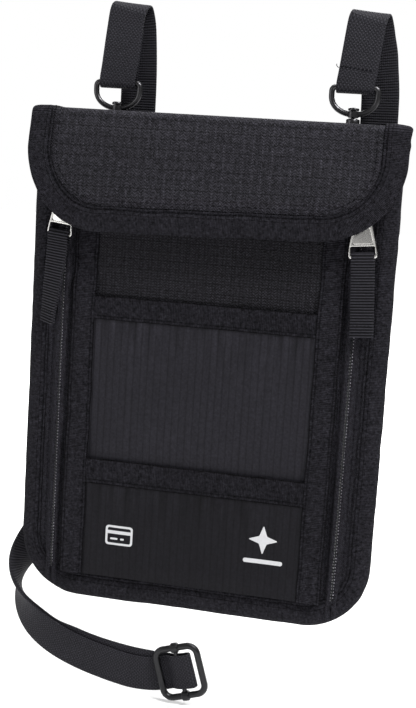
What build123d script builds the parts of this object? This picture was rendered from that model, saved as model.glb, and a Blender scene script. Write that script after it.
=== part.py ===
from build123d import *
import math
import os

# Neck pouch wallet with a flap, two zips and a neck strap on swivel hooks.
# Millimetres, +Z up, the front faces -Y and the wearer's side faces +Y; left is -X.
# Origin: middle of the bottom edge, on the outer surface of the back panel.

# ---------------------------------------------------------------- driving dimensions
W = 150.0            # pouch width
R = 27.0             # bottom corner radius
BIND = 9.0           # edge binding width at the sides
BIND_B = 11.0        # edge binding width along the bottom
WALL = 0.6           # binding tape thickness
EDGE = 0.7           # inset of every layer inside the binding
LAYER_TOP = 202.0    # top of the divider, the liners and the front panel

# back surface of each layer; cloth thickness grows from it towards -Y
Y_BACK = 0.0
Y_RFID_B = -0.55
Y_LINING = -0.70
Y_DIVIDER = -5.10
Y_RFID_F = -5.45
Y_TAPE = -6.35       # zip tape
Y_FRONT = -6.80      # front base panel
Y_UPPER = -8.10      # upper slip pocket panel
Y_LOWER = -9.30      # lower slip pocket panel
Y_STRIP = -9.65      # side tape over the pocket ends

PANEL_X = 46.0       # half width of the centre panel between the side tapes
STRIP_W = 10.0
STRIP_T = 0.4
POCKET_FOOT = BIND_B + 0.4              # lower end of the pocket panels and side tapes
HEM1_LO, HEM1_HI = 121.1, 130.8         # upper pocket hem
HEM2_LO, HEM2_HI = 51.6, 62.2           # lower pocket hem

SIDES = (("left", -1), ("right", 1))
FROM_BOTTOM = (Align.CENTER, Align.MIN)
FROM_TOP = (Align.CENTER, Align.MAX)

os.makedirs("parts", exist_ok=True)


# ---------------------------------------------------------------- helpers
def finish(builder, label):
    builder.part.label = label
    export_step(builder.part, "parts/" + label + ".step")


def face_plane(y, x=0, z=0):
    """Sketch plane seen from the front: local y is up, extrusions grow towards -Y."""
    return Plane(origin=(x, y, z), x_dir=(1, 0, 0), z_dir=(0, -1, 0))


def side_plane(x, z=0):
    """Sketch plane for (y, z) profiles; extrusions grow towards +X."""
    return Plane(origin=(x, 0, z), x_dir=(0, 1, 0), z_dir=(1, 0, 0))


def level_plane(x, y, z):
    """Horizontal sketch plane; extrusions grow upwards."""
    return Plane(origin=(x, y, z), x_dir=(1, 0, 0), z_dir=(0, 0, 1))


def prism(label, plane, outline, depth, hole=None):
    """A closed outline, with an optional hole, extruded into one piece."""
    with BuildPart() as piece:
        with BuildSketch(plane):
            with BuildLine():
                Polyline(*outline, close=True)
            make_face()
            if hole:
                with BuildLine():
                    Polyline(*hole, close=True)
                make_face(mode=Mode.SUBTRACT)
        extrude(amount=depth)
    finish(piece, label)


# ---------------------------------------------------------------- cloth layers, back to front
def cloth_layer(label, y_back, top, thickness):
    """A full-width layer with the pouch's rounded bottom corners."""
    with BuildPart() as layer:
        with BuildSketch(face_plane(y_back)) as outline:
            with Locations((0, EDGE)):
                Rectangle(W - 2 * EDGE, top - EDGE, align=FROM_BOTTOM)
            fillet(outline.vertices().group_by(Axis.Y)[0], R - EDGE)
        extrude(amount=thickness)
    finish(layer, label)


cloth_layer("back_panel", Y_BACK, top=204.6, thickness=0.5)
cloth_layer("rfid_liner_back", Y_RFID_B, top=LAYER_TOP, thickness=0.10)
cloth_layer("back_lining", Y_LINING, top=204.0, thickness=0.30)
cloth_layer("divider_panel", Y_DIVIDER, top=LAYER_TOP, thickness=0.30)
cloth_layer("rfid_liner_front", Y_RFID_F, top=LAYER_TOP, thickness=0.10)

with BuildPart() as front_panel:
    with BuildSketch(face_plane(Y_FRONT)):
        with Locations((0, EDGE)):
            Rectangle(2 * (PANEL_X + STRIP_W - 0.6), LAYER_TOP - EDGE, align=FROM_BOTTOM)
    extrude(amount=0.40)
    # trim to the rounded outline at the bottom corners
    with BuildSketch(face_plane(Y_FRONT + 2)) as trim:
        with Locations((0, EDGE)):
            Rectangle(W - 2 * EDGE, 300, align=FROM_BOTTOM)
        fillet(trim.vertices().group_by(Axis.Y)[0], R - EDGE)
    extrude(amount=6, mode=Mode.INTERSECT)
finish(front_panel, "front_panel")


def pocket_cloth(label, y_back, half_width, low, high, thickness):
    """A plain rectangle of cloth on the front."""
    with BuildPart() as cloth:
        with BuildSketch(face_plane(y_back)):
            with Locations((0, low)):
                Rectangle(2 * half_width, high - low, align=FROM_BOTTOM)
        extrude(amount=thickness)
    finish(cloth, label)


POCKET_X = PANEL_X + 4      # the panels run under the side tapes
HEM_X = PANEL_X - 0.2       # the hems stop between them
HEM_LAP = 0.4               # pocket panel top, below the top of its hem
HEM_STEP = 0.35             # hem back surface, in front of the panel's

pocket_cloth("upper_pocket_panel", Y_UPPER, POCKET_X, POCKET_FOOT, HEM1_HI - HEM_LAP, 0.30)
pocket_cloth("upper_pocket_hem", Y_UPPER - HEM_STEP, HEM_X, HEM1_LO, HEM1_HI, 0.35)
pocket_cloth("lower_pocket_panel", Y_LOWER, POCKET_X, POCKET_FOOT, HEM2_HI - HEM_LAP, 0.30)
pocket_cloth("lower_pocket_hem", Y_LOWER - HEM_STEP, HEM_X, HEM2_LO, HEM2_HI, 0.30)

# side tapes: each steps back from over the lower pocket to the base panel
Y_MID = Y_STRIP + 1.0       # back surface over the upper pocket
Y_BASE = Y_FRONT - 0.45     # back surface over the base panel
SIDE_TAPE = (               # y, z: up the back surface, then down the front surface
    (Y_STRIP, POCKET_FOOT), (Y_STRIP, 66.0), (Y_MID, 74.0),
    (Y_MID, 133.0), (Y_BASE, 141.0), (Y_BASE, 193.6),
    (Y_BASE - STRIP_T, 193.6), (Y_BASE - STRIP_T, 141.0), (Y_MID - STRIP_T, 133.4),
    (Y_MID - STRIP_T, 74.4), (Y_STRIP - STRIP_T, 66.4), (Y_STRIP - STRIP_T, POCKET_FOOT),
)
prism("side_tape_left", side_plane(-PANEL_X - STRIP_W), SIDE_TAPE, STRIP_W)
prism("side_tape_right", side_plane(PANEL_X), SIDE_TAPE, STRIP_W)

# edge binding: a tape folded round the sides and the bottom
BINDING_CUTS = (
    # back y, depth, side inset, bottom inset, height, corner radius, mode
    (0.65, 0.65 + 7.95, 0, 0, 203.0, R, Mode.ADD),                           # outer block
    (0.65, 0.65 + 7.95, BIND, BIND_B, 220.0, R - BIND - 1, Mode.SUBTRACT),   # window
    (0.05, 0.05 + 7.30, WALL, WALL, 220.0, R - WALL, Mode.SUBTRACT),         # channel for cloth
)
with BuildPart() as edge_binding:
    for y_back, depth, side_inset, bottom, height, radius, mode in BINDING_CUTS:
        with BuildSketch(face_plane(y_back)) as outline:
            with Locations((0, bottom)):
                Rectangle(W - 2 * side_inset, height, align=FROM_BOTTOM)
            fillet(outline.vertices().group_by(Axis.Y)[0], radius)
        extrude(amount=depth, mode=mode)
finish(edge_binding, "edge_binding")

# binding folded over the top edge of the front assembly, open downwards
MOUTH_X = W / 2 - BIND - 0.4
MOUTH_BINDING = (           # y, z
    (-5.05, 194.2), (-5.05, 202.1), (-7.25, 202.1), (-7.25, 194.2),
    (-7.75, 194.2), (-7.75, 202.7), (-4.60, 202.7), (-4.60, 194.2),
)
prism("mouth_binding", side_plane(-MOUTH_X), MOUTH_BINDING, 2 * MOUTH_X)

# ---------------------------------------------------------------- zips
ZIP_X = 60.5         # centre of each zip chain
CHAIN_W = 4.4
CHAIN_H = 1.9
CHAIN_GAP = 0.75     # half the gap between the coil rows and between the tape halves
ZIP_LO, ZIP_HI = 21.0, 181.0
TAPE_REACH = 11.0    # chain centre to the tape's outer edge
SLIDER_Z = 172.0
SLIDER_L = 9.5
SLIDER_W = 7.4
SLIDER_PLATES = (    # back y, thickness: front plate, back plate
    (Y_FRONT - CHAIN_H - 0.15, 1.1),
    (Y_TAPE + 0.75, 0.6),
)
BAIL_W = 1.8
BAIL = (             # y, z: outside of the bridge, then its inside
    (-9.8, 167.9), (-11.1, 168.6), (-12.6, 170.6), (-12.6, 174.4), (-11.4, 175.9),
    (-9.8, 176.3), (-9.8, 175.0), (-10.9, 174.7), (-11.65, 173.9), (-11.65, 171.2),
    (-10.7, 169.8), (-9.8, 169.3),
)

PIVOT_Z = 172.85     # the puller's top bar in the bail
PULL_Y = -10.15      # back surface of the puller
PULL_T = 1.1
PULL_TILT = math.radians(5.5)    # the pullers hang outwards
PULL_HALF = 5.6
BAR_DROP = 17.8      # bail to the puller's lowest bar
PULL_OUTLINE = (     # across, up from the pivot
    (-2.7, 0.55), (2.7, 0.55), (3.7, -4.6), (PULL_HALF, -16.2), (PULL_HALF, -18.45),
    (-PULL_HALF, -18.45), (-PULL_HALF, -16.2), (-3.7, -4.6),
)
PULL_RECESS = ((-2.5, -6.7), (2.5, -6.7), (3.7, -12.4), (-3.7, -12.4))

RIBBON_W = 9.2
RIBBON_TILT = {"left": 5.0, "right": 4.5}
RIBBON_L = {"left": 37.2, "right": 31.8}
RIBBON_HOLE = (      # y, up from the puller's lowest bar
    (-10.7, -4.1), (-9.75, -1.0), (-9.75, 0.85), (-10.0, 1.15), (-11.4, 1.15),
    (-11.65, 0.85), (-11.65, -1.0),
)


def zipper_tape(side, sign):
    """Two tape halves, one each side of the chain centre line."""
    centre_x = sign * ZIP_X
    with BuildPart() as tape:
        for half in (-1, 1):
            x_in = centre_x + half * CHAIN_GAP
            x_out = centre_x + half * TAPE_REACH
            # the half nearer the pouch's side ends higher, clear of the rounded corner
            outer_low = 18.0 if half == sign else 2.0
            with BuildSketch(face_plane(Y_TAPE)):
                with BuildLine():
                    Polyline(
                        (x_in, 7.0), (x_out, outer_low), (x_out, 201.8), (x_in, 201.8), close=True
                    )
                make_face()
            extrude(amount=0.40)
    finish(tape, "zipper_tape_" + side)


def zipper_coil(side, sign):
    """The coil's two rows, with the gap that the slider's post passes through."""
    row_w = CHAIN_W / 2 - CHAIN_GAP
    with BuildPart() as coil:
        for half in (-1, 1):
            row_x = sign * ZIP_X + half * (CHAIN_GAP + row_w / 2)
            with BuildSketch(Plane.XY.offset(ZIP_LO)) as row:
                with Locations((row_x, Y_FRONT - CHAIN_H / 2)):
                    Rectangle(row_w, CHAIN_H)
                fillet(row.vertices(), 0.35)
            extrude(amount=ZIP_HI - ZIP_LO)
    finish(coil, "zipper_coil_" + side)


def zipper_slider(side, sign):
    """Front plate, back plate, the post that joins them and the bail on the front."""
    centre_x = sign * ZIP_X
    with BuildPart() as slider:
        for y_back, thickness in SLIDER_PLATES:
            with BuildSketch(face_plane(y_back)) as plate:
                with Locations((centre_x, SLIDER_Z)):
                    Trapezoid(
                        SLIDER_W, SLIDER_L, 84, align=(Align.CENTER, Align.CENTER), rotation=180
                    )
                fillet(plate.vertices(), 1.2)
            extrude(amount=thickness)
        with BuildSketch(face_plane(Y_TAPE + 0.4)) as post:
            with Locations((centre_x, SLIDER_Z + 2.6)):
                Rectangle(1.1, 3.4)
            fillet(post.vertices(), 0.4)
        extrude(amount=4.0)
        # side flanges of the front plate keep the coil rows together
        with BuildSketch(face_plane(Y_FRONT - 1.1)):
            for half in (-1, 1):
                with Locations((centre_x + half * 2.75, SLIDER_Z - 0.6)):
                    Rectangle(0.6, SLIDER_L - 3.0)
        extrude(amount=CHAIN_H - 0.6)
        # bail: a bridge the puller's loop turns in
        with BuildSketch(side_plane(centre_x - BAIL_W / 2)):
            with BuildLine():
                Polyline(*BAIL, close=True)
            make_face()
        extrude(amount=BAIL_W)
    finish(slider, "zipper_slider_" + side)


def pull_tab(side, sign):
    """A tapered metal puller with an eye for the bail, a recess and a slot for the ribbon."""
    plane = Plane(
        origin=(sign * ZIP_X, PULL_Y, PIVOT_Z),
        x_dir=(math.cos(PULL_TILT), 0, sign * math.sin(PULL_TILT)),
        z_dir=(0, -1, 0),
    )
    with BuildPart() as tab:
        with BuildSketch(plane) as outline:
            with BuildLine():
                Polyline(*PULL_OUTLINE, close=True)
            make_face()
            fillet(outline.vertices().group_by(Axis.Y)[-1], 1.3)
            fillet(outline.vertices().group_by(Axis.Y)[0], 1.0)
        extrude(amount=PULL_T)
        # eye, then ribbon slot
        with BuildSketch(plane.offset(-1)) as openings:
            with Locations((0, -3.0)):
                Rectangle(3.4, 4.9)
            fillet(openings.vertices(), 0.6)
            with Locations((0, -15.4)):
                Rectangle(9.7, 3.6)
        extrude(amount=4, mode=Mode.SUBTRACT)
        # recess in the front face
        with BuildSketch(plane.offset(0.7)):
            with BuildLine():
                Polyline(*PULL_RECESS, close=True)
            make_face()
        extrude(amount=1.0, mode=Mode.SUBTRACT)
    finish(tab, "pull_tab_" + side)


def pull_ribbon(side, sign):
    """A ribbon folded round the puller's lowest bar."""
    tilt = math.radians(RIBBON_TILT[side])
    across = Vector(math.cos(tilt), 0, sign * math.sin(tilt))
    bar = Vector(
        sign * (ZIP_X + BAR_DROP * math.sin(PULL_TILT)),
        0,
        PIVOT_Z - BAR_DROP * math.cos(PULL_TILT),
    )
    start = bar - across * (RIBBON_W / 2)
    plane = Plane(origin=tuple(start), x_dir=(0, 1, 0), z_dir=tuple(across))
    low = -RIBBON_L[side]
    outline = (      # y, up from the puller's lowest bar
        (-9.95, low), (-9.95, -4.4), (-9.2, -1.15), (-9.2, 0.9), (-9.9, 1.75),
        (-11.5, 1.75), (-12.3, 0.9), (-12.3, -1.2), (-11.45, -4.4), (-11.45, low),
    )
    prism("pull_ribbon_" + side, plane, outline, RIBBON_W, hole=RIBBON_HOLE)


for side, sign in SIDES:
    zipper_tape(side, sign)
    zipper_coil(side, sign)
    zipper_slider(side, sign)
    pull_tab(side, sign)
    pull_ribbon(side, sign)

# two small stops above each chain, one wide stop below it
STOP_H = 2.2
with BuildPart() as zipper_stops:
    for _, sign in SIDES:
        for half in (-1, 1):
            with BuildSketch(face_plane(Y_FRONT - 0.1)):
                with Locations((sign * ZIP_X + half * 1.45, ZIP_HI + 1.4)):
                    Rectangle(1.3, STOP_H)
            extrude(amount=1.8)
        with BuildSketch(face_plane(Y_FRONT - 0.1)):
            with Locations((sign * ZIP_X, ZIP_LO - 1.6)):
                Rectangle(4.6, STOP_H)
        extrude(amount=0.95)
finish(zipper_stops, "zipper_stops")

# ---------------------------------------------------------------- flap
FLAP_W = 153.5
FLAP_H = 46.6
FLAP_R = 33.0
FLAP_LEAN = math.radians(5.5)    # the flap stands off the front towards its lower edge
FLAP_BIND = 10.0
FLAP_EDGE = 0.8                  # inset of the flap's cloth inside its binding
HINGE_Y, HINGE_Z = -10.9, 204.8  # fold at the front of the top edge

FOLD_STRIP = (                   # y, z
    (-1.1, 205.1), (-10.6, 205.1), (-10.6, 205.6), (-9.2, 206.0), (-2.6, 206.0), (-1.1, 205.6),
)
prism(
    "flap_fold_strip", side_plane(-FLAP_W / 2 + FLAP_EDGE), FOLD_STRIP, FLAP_W - 2 * FLAP_EDGE
)

# local y runs up the flap from the hinge, local z out of its front
flap_plane = Plane(
    origin=(0, HINGE_Y, HINGE_Z),
    x_dir=(1, 0, 0),
    z_dir=(0, -math.cos(FLAP_LEAN), math.sin(FLAP_LEAN)),
)


def flap_piece(label, steps):
    """Flap outlines with rounded lower corners; steps: (offset, depth, inset, mode)."""
    with BuildPart() as piece:
        for offset, depth, inset, mode in steps:
            with BuildSketch(flap_plane.offset(offset)) as outline:
                Rectangle(FLAP_W - 2 * inset, FLAP_H - inset, align=FROM_TOP)
                fillet(outline.vertices().group_by(Axis.Y)[0], FLAP_R - inset)
            extrude(amount=depth, mode=mode)
    finish(piece, label)


flap_piece("flap_panel", [(0.45, 0.45, FLAP_EDGE, Mode.ADD)])
flap_piece("flap_lining", [(0.10, 0.30, FLAP_EDGE, Mode.ADD)])
flap_piece("flap_binding", [
    (-0.55, 0.55 + 1.55, 0, Mode.ADD),              # outer block
    (-0.55, 0.55 + 1.55, FLAP_BIND, Mode.SUBTRACT), # window
    (0.02, 0.93, 0.6, Mode.SUBTRACT),               # channel for the cloth
])


def closure_patch(label, plane, centre_z, width, height, thickness):
    """Half of the hook-and-loop closure under the flap."""
    with BuildPart() as patch:
        with BuildSketch(plane) as outline:
            with Locations((0, centre_z)):
                Rectangle(width, height)
            fillet(outline.vertices(), 2)
        extrude(amount=thickness)
    finish(patch, label)


closure_patch(
    "flap_hook_patch", flap_plane.offset(-1.95), -FLAP_H + FLAP_BIND + 11.5, 50, 16, 2.0
)
closure_patch("front_loop_patch", face_plane(Y_FRONT - 0.45), 179.0, 60, 20, 2.3)

# ---------------------------------------------------------------- rings and swivel hooks
WEB_T = 1.1                      # neck strap webbing thickness
WEB = 15.0                       # and width
RING_W, RING_H, WIRE = 20.6, 12.7, 2.3
RING_Y = 3.0
LEFT_RING = (-44.3, 217.6)       # x, z of the ring's straight bar
RIGHT_RING = (52.7, 220.3)
RING_SPAN = RING_H - WIRE        # straight bar to the foot of the ring, on centres
EYE_H = 2.6
FOOT_DROP = RING_SPAN + EYE_H / 2            # ring bar to the underside of the eye
HOOK_DROP = 33.4                             # ring bar to the hook's bottom wire
BOW_TOP = HOOK_DROP - FOOT_DROP - 4.6        # height above the hook's bottom wire
BOW_IN, BOW_OUT = 6.4 - 1.2, 6.4 + 1.2       # inner and outer half width of the bow
PIN_AT = (5.2, BOW_TOP - 1.9)
TAB_W = 8.6

# Outlines seen from the front: x from the ring's centre, z from the hook's bottom wire.
# The bow is open on its +X side, where the gate closes it.
BOW = (
    (-3.4, BOW_TOP), (-BOW_OUT, BOW_TOP - 3.6), (-BOW_OUT, 1.4),
    (-5.6, -1.2), (5.6, -1.2), (BOW_OUT, 1.4),
    (BOW_OUT, 5.0), (BOW_IN, 5.0), (BOW_IN, 1.8),
    (4.7, 1.2), (-4.7, 1.2), (-BOW_IN, 1.8),
    (-BOW_IN, BOW_TOP - 4.4), (-2.4, BOW_TOP - 2.4), (2.6, BOW_TOP - 2.4),
    (6.6, BOW_TOP - 3.6), (7.0, BOW_TOP - 0.6), (3.4, BOW_TOP),
)
GATE = (
    (4.2, BOW_TOP - 0.8), (6.2, BOW_TOP - 0.8), (6.9, BOW_TOP - 3.2),
    (7.5, 5.25), (5.4, 5.25), (4.3, BOW_TOP - 3.2),
)
SPRING = (
    (3.7, BOW_TOP - 0.10), (5.2, BOW_TOP + 0.04), (6.6, BOW_TOP - 0.10),
    (6.6, BOW_TOP + 0.10), (5.2, BOW_TOP + 0.24), (3.7, BOW_TOP + 0.10),
)
# y, z from the hook's bottom wire
TAB_OUTLINE = (
    (0.1, -27), (1.1, -27), (1.1, -8.4), (5.8, -3.6), (7.4, -1.0),
    (7.3, 1.8), (5.4, 3.2), (1.8, 3.2), (0.1, 1.8),
)
TAB_HOLE = (
    (0.9, -6.8), (0.9, 1.3), (2.1, 2.4), (5.1, 2.4), (6.5, 1.4), (6.6, -0.8), (5.2, -3.0),
)


def hook_plane(bar_x, bar_z, depth):
    """Plane at the hook's bottom wire from which an extrusion of depth is centred on RING_Y."""
    return face_plane(RING_Y + depth / 2, bar_x, bar_z - HOOK_DROP)


def d_ring(side, bar_x, bar_z):
    """A wire D with its straight bar on top and an eye for the swivel post at its foot."""
    with BuildSketch(face_plane(RING_Y)) as centre_line:
        with Locations((bar_x, bar_z)):
            Rectangle(RING_W - WIRE, RING_SPAN, align=FROM_TOP)
        fillet(centre_line.vertices().group_by(Axis.Y)[0], RING_SPAN - 2.6)
        fillet(centre_line.vertices().group_by(Axis.Y)[-1], 1.9)
    ring_path = centre_line.sketch.faces()[0].outer_wire()
    with BuildPart() as ring:
        with BuildSketch(Plane(origin=ring_path @ 0, z_dir=ring_path % 0)):
            Circle(WIRE / 2)
        sweep(path=ring_path, transition=Transition.ROUND)
        with BuildSketch(level_plane(bar_x, RING_Y, bar_z - FOOT_DROP)):
            Circle(2.3)
        extrude(amount=EYE_H)
        with BuildSketch(level_plane(bar_x, RING_Y, bar_z - RING_SPAN - 3)):
            Circle(1.0)
        extrude(amount=6, mode=Mode.SUBTRACT)
    finish(ring, "d_ring_" + side)


def swivel_hook(side, bar_x, bar_z):
    foot = bar_z - FOOT_DROP     # underside of the ring's eye
    with BuildPart() as hook:
        # post and head of the swivel, in the ring's eye
        with BuildSketch(level_plane(bar_x, RING_Y, foot - 0.6)):
            Circle(0.95)
        extrude(amount=3.6)
        with BuildSketch(level_plane(bar_x, RING_Y, foot + 2.7)):
            Circle(2.2)
        extrude(amount=1.3)
        chamfer(hook.edges().group_by(Axis.Z)[-1], 0.3)
        # shoulder under the ring
        with BuildSketch(level_plane(bar_x, RING_Y, foot - 5.2)):
            Circle(2.7)
        extrude(amount=5.1)
        with BuildSketch(hook_plane(bar_x, bar_z, 2.4)):
            with BuildLine():
                Polyline(*BOW, close=True)
            make_face()
        extrude(amount=2.4)
        # slot and pin hole for the gate
        with BuildSketch(hook_plane(bar_x, bar_z, 1.1)):
            with Locations((5.6, BOW_TOP - 2.0)):
                Rectangle(4.4, 4.6)
        extrude(amount=1.1, mode=Mode.SUBTRACT)
        with BuildSketch(hook_plane(bar_x, bar_z, 4)):
            with Locations(PIN_AT):
                Circle(0.55)
        extrude(amount=4, mode=Mode.SUBTRACT)
    finish(hook, "swivel_hook_" + side)


def gate_pin(side, bar_x, bar_z):
    with BuildPart() as pin:
        with BuildSketch(hook_plane(bar_x, bar_z, 2.5)):
            with Locations(PIN_AT):
                Circle(0.5)
        extrude(amount=2.5)
    finish(pin, "gate_pin_" + side)


def hook_gate(side, bar_x, bar_z):
    with BuildPart() as gate:
        with BuildSketch(hook_plane(bar_x, bar_z, 0.9)):
            with BuildLine():
                Polyline(*GATE, close=True)
            make_face()
        extrude(amount=0.9)
        with BuildSketch(hook_plane(bar_x, bar_z, 4)):
            with Locations(PIN_AT):
                Circle(0.56)
        extrude(amount=4, mode=Mode.SUBTRACT)
        # thumb knob
        with BuildSketch(side_plane(bar_x + 6.9, bar_z - HOOK_DROP)):
            with Locations((RING_Y, 7.6)):
                Rectangle(2.2, 2.6)
        extrude(amount=1.5)
    finish(gate, "hook_gate_" + side)


for side, (bar_x, bar_z) in (("left", LEFT_RING), ("right", RIGHT_RING)):
    d_ring(side, bar_x, bar_z)
    swivel_hook(side, bar_x, bar_z)
    gate_pin(side, bar_x, bar_z)
    hook_gate(side, bar_x, bar_z)
    # leaf spring over the gate's heel
    prism("gate_spring_" + side, hook_plane(bar_x, bar_z, 0.8), SPRING, 0.8)
    # webbing tab on the back, its loop round the hook's bottom wire
    tab_plane = side_plane(bar_x - TAB_W / 2, bar_z - HOOK_DROP)
    prism("strap_tab_" + side, tab_plane, TAB_OUTLINE, TAB_W, hole=TAB_HOLE)

# ---------------------------------------------------------------- strap adjuster
ADJ = Vector(-2.6, 0.2, -30.2)               # centre of the strap adjuster
ADJ_ANGLE = math.radians(17.0)
ADJ_L, ADJ_H, ADJ_WIRE = 21.0, 23.2, 2.4
ROD_R = 1.0
RAIL = (ADJ_H - ADJ_WIRE) / 2                # centre to each of the frame's rails
ROD_GAP = 1.6                                # rail centre to the rod's end
EYE_L = 2.6                                  # length of the bar's eyes along the rails
along = Vector(math.cos(ADJ_ANGLE), 0, math.sin(ADJ_ANGLE))       # along the strap
bar_dir = Vector(math.sin(ADJ_ANGLE), 0, -math.cos(ADJ_ANGLE))    # along the bars, downwards

with BuildSketch(Plane(origin=tuple(ADJ), x_dir=tuple(along), z_dir=(0, -1, 0))) as frame_line:
    RectangleRounded(ADJ_L - ADJ_WIRE, ADJ_H - ADJ_WIRE, 3.2)
frame_path = frame_line.sketch.faces()[0].outer_wire()
with BuildPart() as adjuster_frame:
    with BuildSketch(Plane(origin=frame_path @ 0, z_dir=frame_path % 0)):
        Circle(ADJ_WIRE / 2)
    sweep(path=frame_path, transition=Transition.ROUND)
finish(adjuster_frame, "adjuster_frame")

# rod between two eyes that slide on the frame's rails
with BuildPart() as adjuster_bar:
    rod_start = ADJ + bar_dir * (-RAIL + ROD_GAP)
    with BuildSketch(Plane(origin=tuple(rod_start), x_dir=tuple(along), z_dir=tuple(bar_dir))):
        Circle(ROD_R)
    extrude(amount=2 * (RAIL - ROD_GAP))
    for end in (-1, 1):
        eye_start = ADJ + bar_dir * (end * RAIL) - along * (EYE_L / 2)
        with BuildSketch(Plane(origin=tuple(eye_start), x_dir=(0, 1, 0), z_dir=tuple(along))):
            Circle(1.85)
            Circle(1.3, mode=Mode.SUBTRACT)
        extrude(amount=EYE_L)
finish(adjuster_bar, "adjuster_bar")

# ---------------------------------------------------------------- neck strap
# One length of webbing, lofted through rectangular cross-sections. Each station is
# (centre, direction of travel, direction across the width).

# from the right ring's fold, down behind the pouch to the lower left:
# centre, angle in degrees from +X down to the line of travel
RIGHT_RUN = (
    ((58.3, 8.9, 243.0), 82), ((60.6, 9.0, 232.0), 84), ((62.3, 9.0, 216.0), 88),
    ((62.4, 9.2, 200.0), 93), ((60.6, 9.0, 182.0), 101), ((55.6, 7.6, 164.0), 110),
    ((47.0, 5.7, 145.0), 118), ((35.4, 4.8, 126.0), 124), ((20.6, 4.4, 106.0), 129),
    ((3.5, 4.3, 86.5), 134), ((-15.5, 4.3, 68.5), 139), ((-36.0, 4.4, 51.5), 141),
    ((-53.5, 4.7, 37.5), 140), ((-66.0, 5.3, 26.8), 138),
)
# the loop that hangs out at the lower left, on the centre line between its two layers:
# centre, travel, across the width
LOOP_LINE = (
    ((-74.6, 4.4, 17.6), (-0.62, 0, -0.78), (-0.75, -0.35, 0.60)),
    ((-78.0, 3.0, 11.6), (-0.38, 0, -0.92), (-0.60, -0.75, 0.25)),
    ((-79.6, 2.2, 4.4), (-0.06, 0, -1.0), (-0.12, -1.0, 0.0)),
    ((-79.0, 1.9, -3.2), (0.24, 0, -0.97), (0.45, -0.88, 0.12)),
    ((-76.3, 1.8, -10.2), (0.46, 0, -0.89), (0.75, -0.55, 0.38)),
    ((-72.0, 1.8, -16.2), (0.66, 0, -0.75), (0.72, -0.28, 0.64)),
    ((-66.0, 1.8, -21.2), (0.80, 0, -0.60), (0.59, -0.12, 0.79)),
    ((-57.5, 1.9, -25.6), (0.91, 0, -0.42), (0.42, -0.05, 0.91)),
    ((-46.5, 2.0, -29.4), (0.96, 0, -0.29), (0.29, -0.02, 0.96)),
    ((-35.0, 2.2, -32.2), (0.98, 0, -0.18), (0.18, 0, 0.98)),
    ((-25.0, 2.4, -33.9), (0.995, 0, -0.05), (0.02, 0, 1)),
    ((-17.0, 2.6, -33.9), (0.99, 0, 0.10), (-0.12, 0, 0.99)),
)
# up behind the pouch to the left ring's fold: centre, travel
LEFT_RUN = (
    ((-67.2, 3.3, 27.2), (0.62, 0, 0.78)), ((-59.8, 2.5, 39.0), (0.47, 0, 0.88)),
    ((-54.0, 2.15, 53.0), (0.34, 0, 0.94)), ((-49.2, 2.1, 70.0), (0.24, 0, 0.97)),
    ((-45.4, 2.2, 90.0), (0.16, 0, 0.99)), ((-42.6, 2.6, 112.0), (0.11, 0, 0.99)),
    ((-40.6, 3.6, 133.0), (0.08, 0.05, 0.99)), ((-39.3, 5.4, 152.0), (0.05, 0.09, 0.99)),
    ((-38.4, 7.8, 172.0), (0.04, 0.06, 0.99)), ((-37.6, 8.9, 192.0), (0.03, 0.02, 1)),
    ((-37.2, 9.0, 208.0), (0.0, 0, 1)), ((-37.6, 9.0, 226.0), (-0.05, 0, 1)),
    ((-38.6, 8.9, 240.0), (-0.09, 0, 1)),
)
LAYER_HALF = 0.5 * (WEB_T + 0.25)            # loop centre line to the middle of each layer


def squared(travel, across):
    """Unit travel, and the unit across direction square to it."""
    travel = Vector(travel).normalized()
    across = Vector(across)
    return travel, (across - travel * across.dot(travel)).normalized()


def reverse_run(run):
    return [(centre, -Vector(travel), across) for centre, travel, across in reversed(run)]


def ring_end(bar_x, bar_z, lean, fold_z):
    """Tail behind the front layer, round the ring's bar, up the front and over the fold."""
    wrap_r = WIRE / 2 + 0.15 + WEB_T / 2
    front_y = 1.2
    tail_y = front_y + WEB_T + 0.35
    fold_r = 3.6
    fold_base = fold_z - 4.2
    across = (1, 0, -lean)
    run = []
    for rise in (22.0, 14.0, 8.5):
        run.append(((bar_x + lean * rise, tail_y, bar_z + rise), (-lean, 0, -1), across))
    run.append(((bar_x + lean * 4.0, 3.9, bar_z + 4.0), (-lean, 0.5, -1), across))
    for step in range(5):
        turn = math.radians(step * 45)
        centre = (bar_x, RING_Y + wrap_r * math.cos(turn), bar_z - wrap_r * math.sin(turn))
        run.append((centre, (0, -math.sin(turn), -math.cos(turn)), (1, 0, 0)))
    for rise, y in ((6.0, front_y), (16.0, front_y), (fold_base - bar_z, 1.5)):
        run.append(((bar_x + lean * rise, y, bar_z + rise), (lean, 0, 1), across))
    fold_x = bar_x + lean * (fold_z - bar_z)
    for step in range(1, 6):
        turn = math.radians(step * 30)
        centre = (
            fold_x + 0.25 * step,
            5.1 - fold_r * math.cos(turn),
            fold_base + fold_r * math.sin(turn),
        )
        run.append((centre, (0.05, math.sin(turn), math.cos(turn)), across))
    return run


def right_run():
    run = []
    for centre, degrees in RIGHT_RUN:
        angle = math.radians(degrees)
        travel = (math.cos(angle), 0, -math.sin(angle))
        run.append((centre, travel, (math.sin(angle), 0, math.cos(angle))))
    return run


def loop_layer(layer_side):
    """One layer of the hanging loop, offset to one side (1 or -1) of its centre line."""
    run = []
    for centre, travel, across in LOOP_LINE:
        unit_travel, unit_across = squared(travel, across)
        normal = unit_across.cross(unit_travel) * -1.0
        run.append((Vector(centre) + normal * (layer_side * LAYER_HALF), travel, across))
    return run


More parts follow.
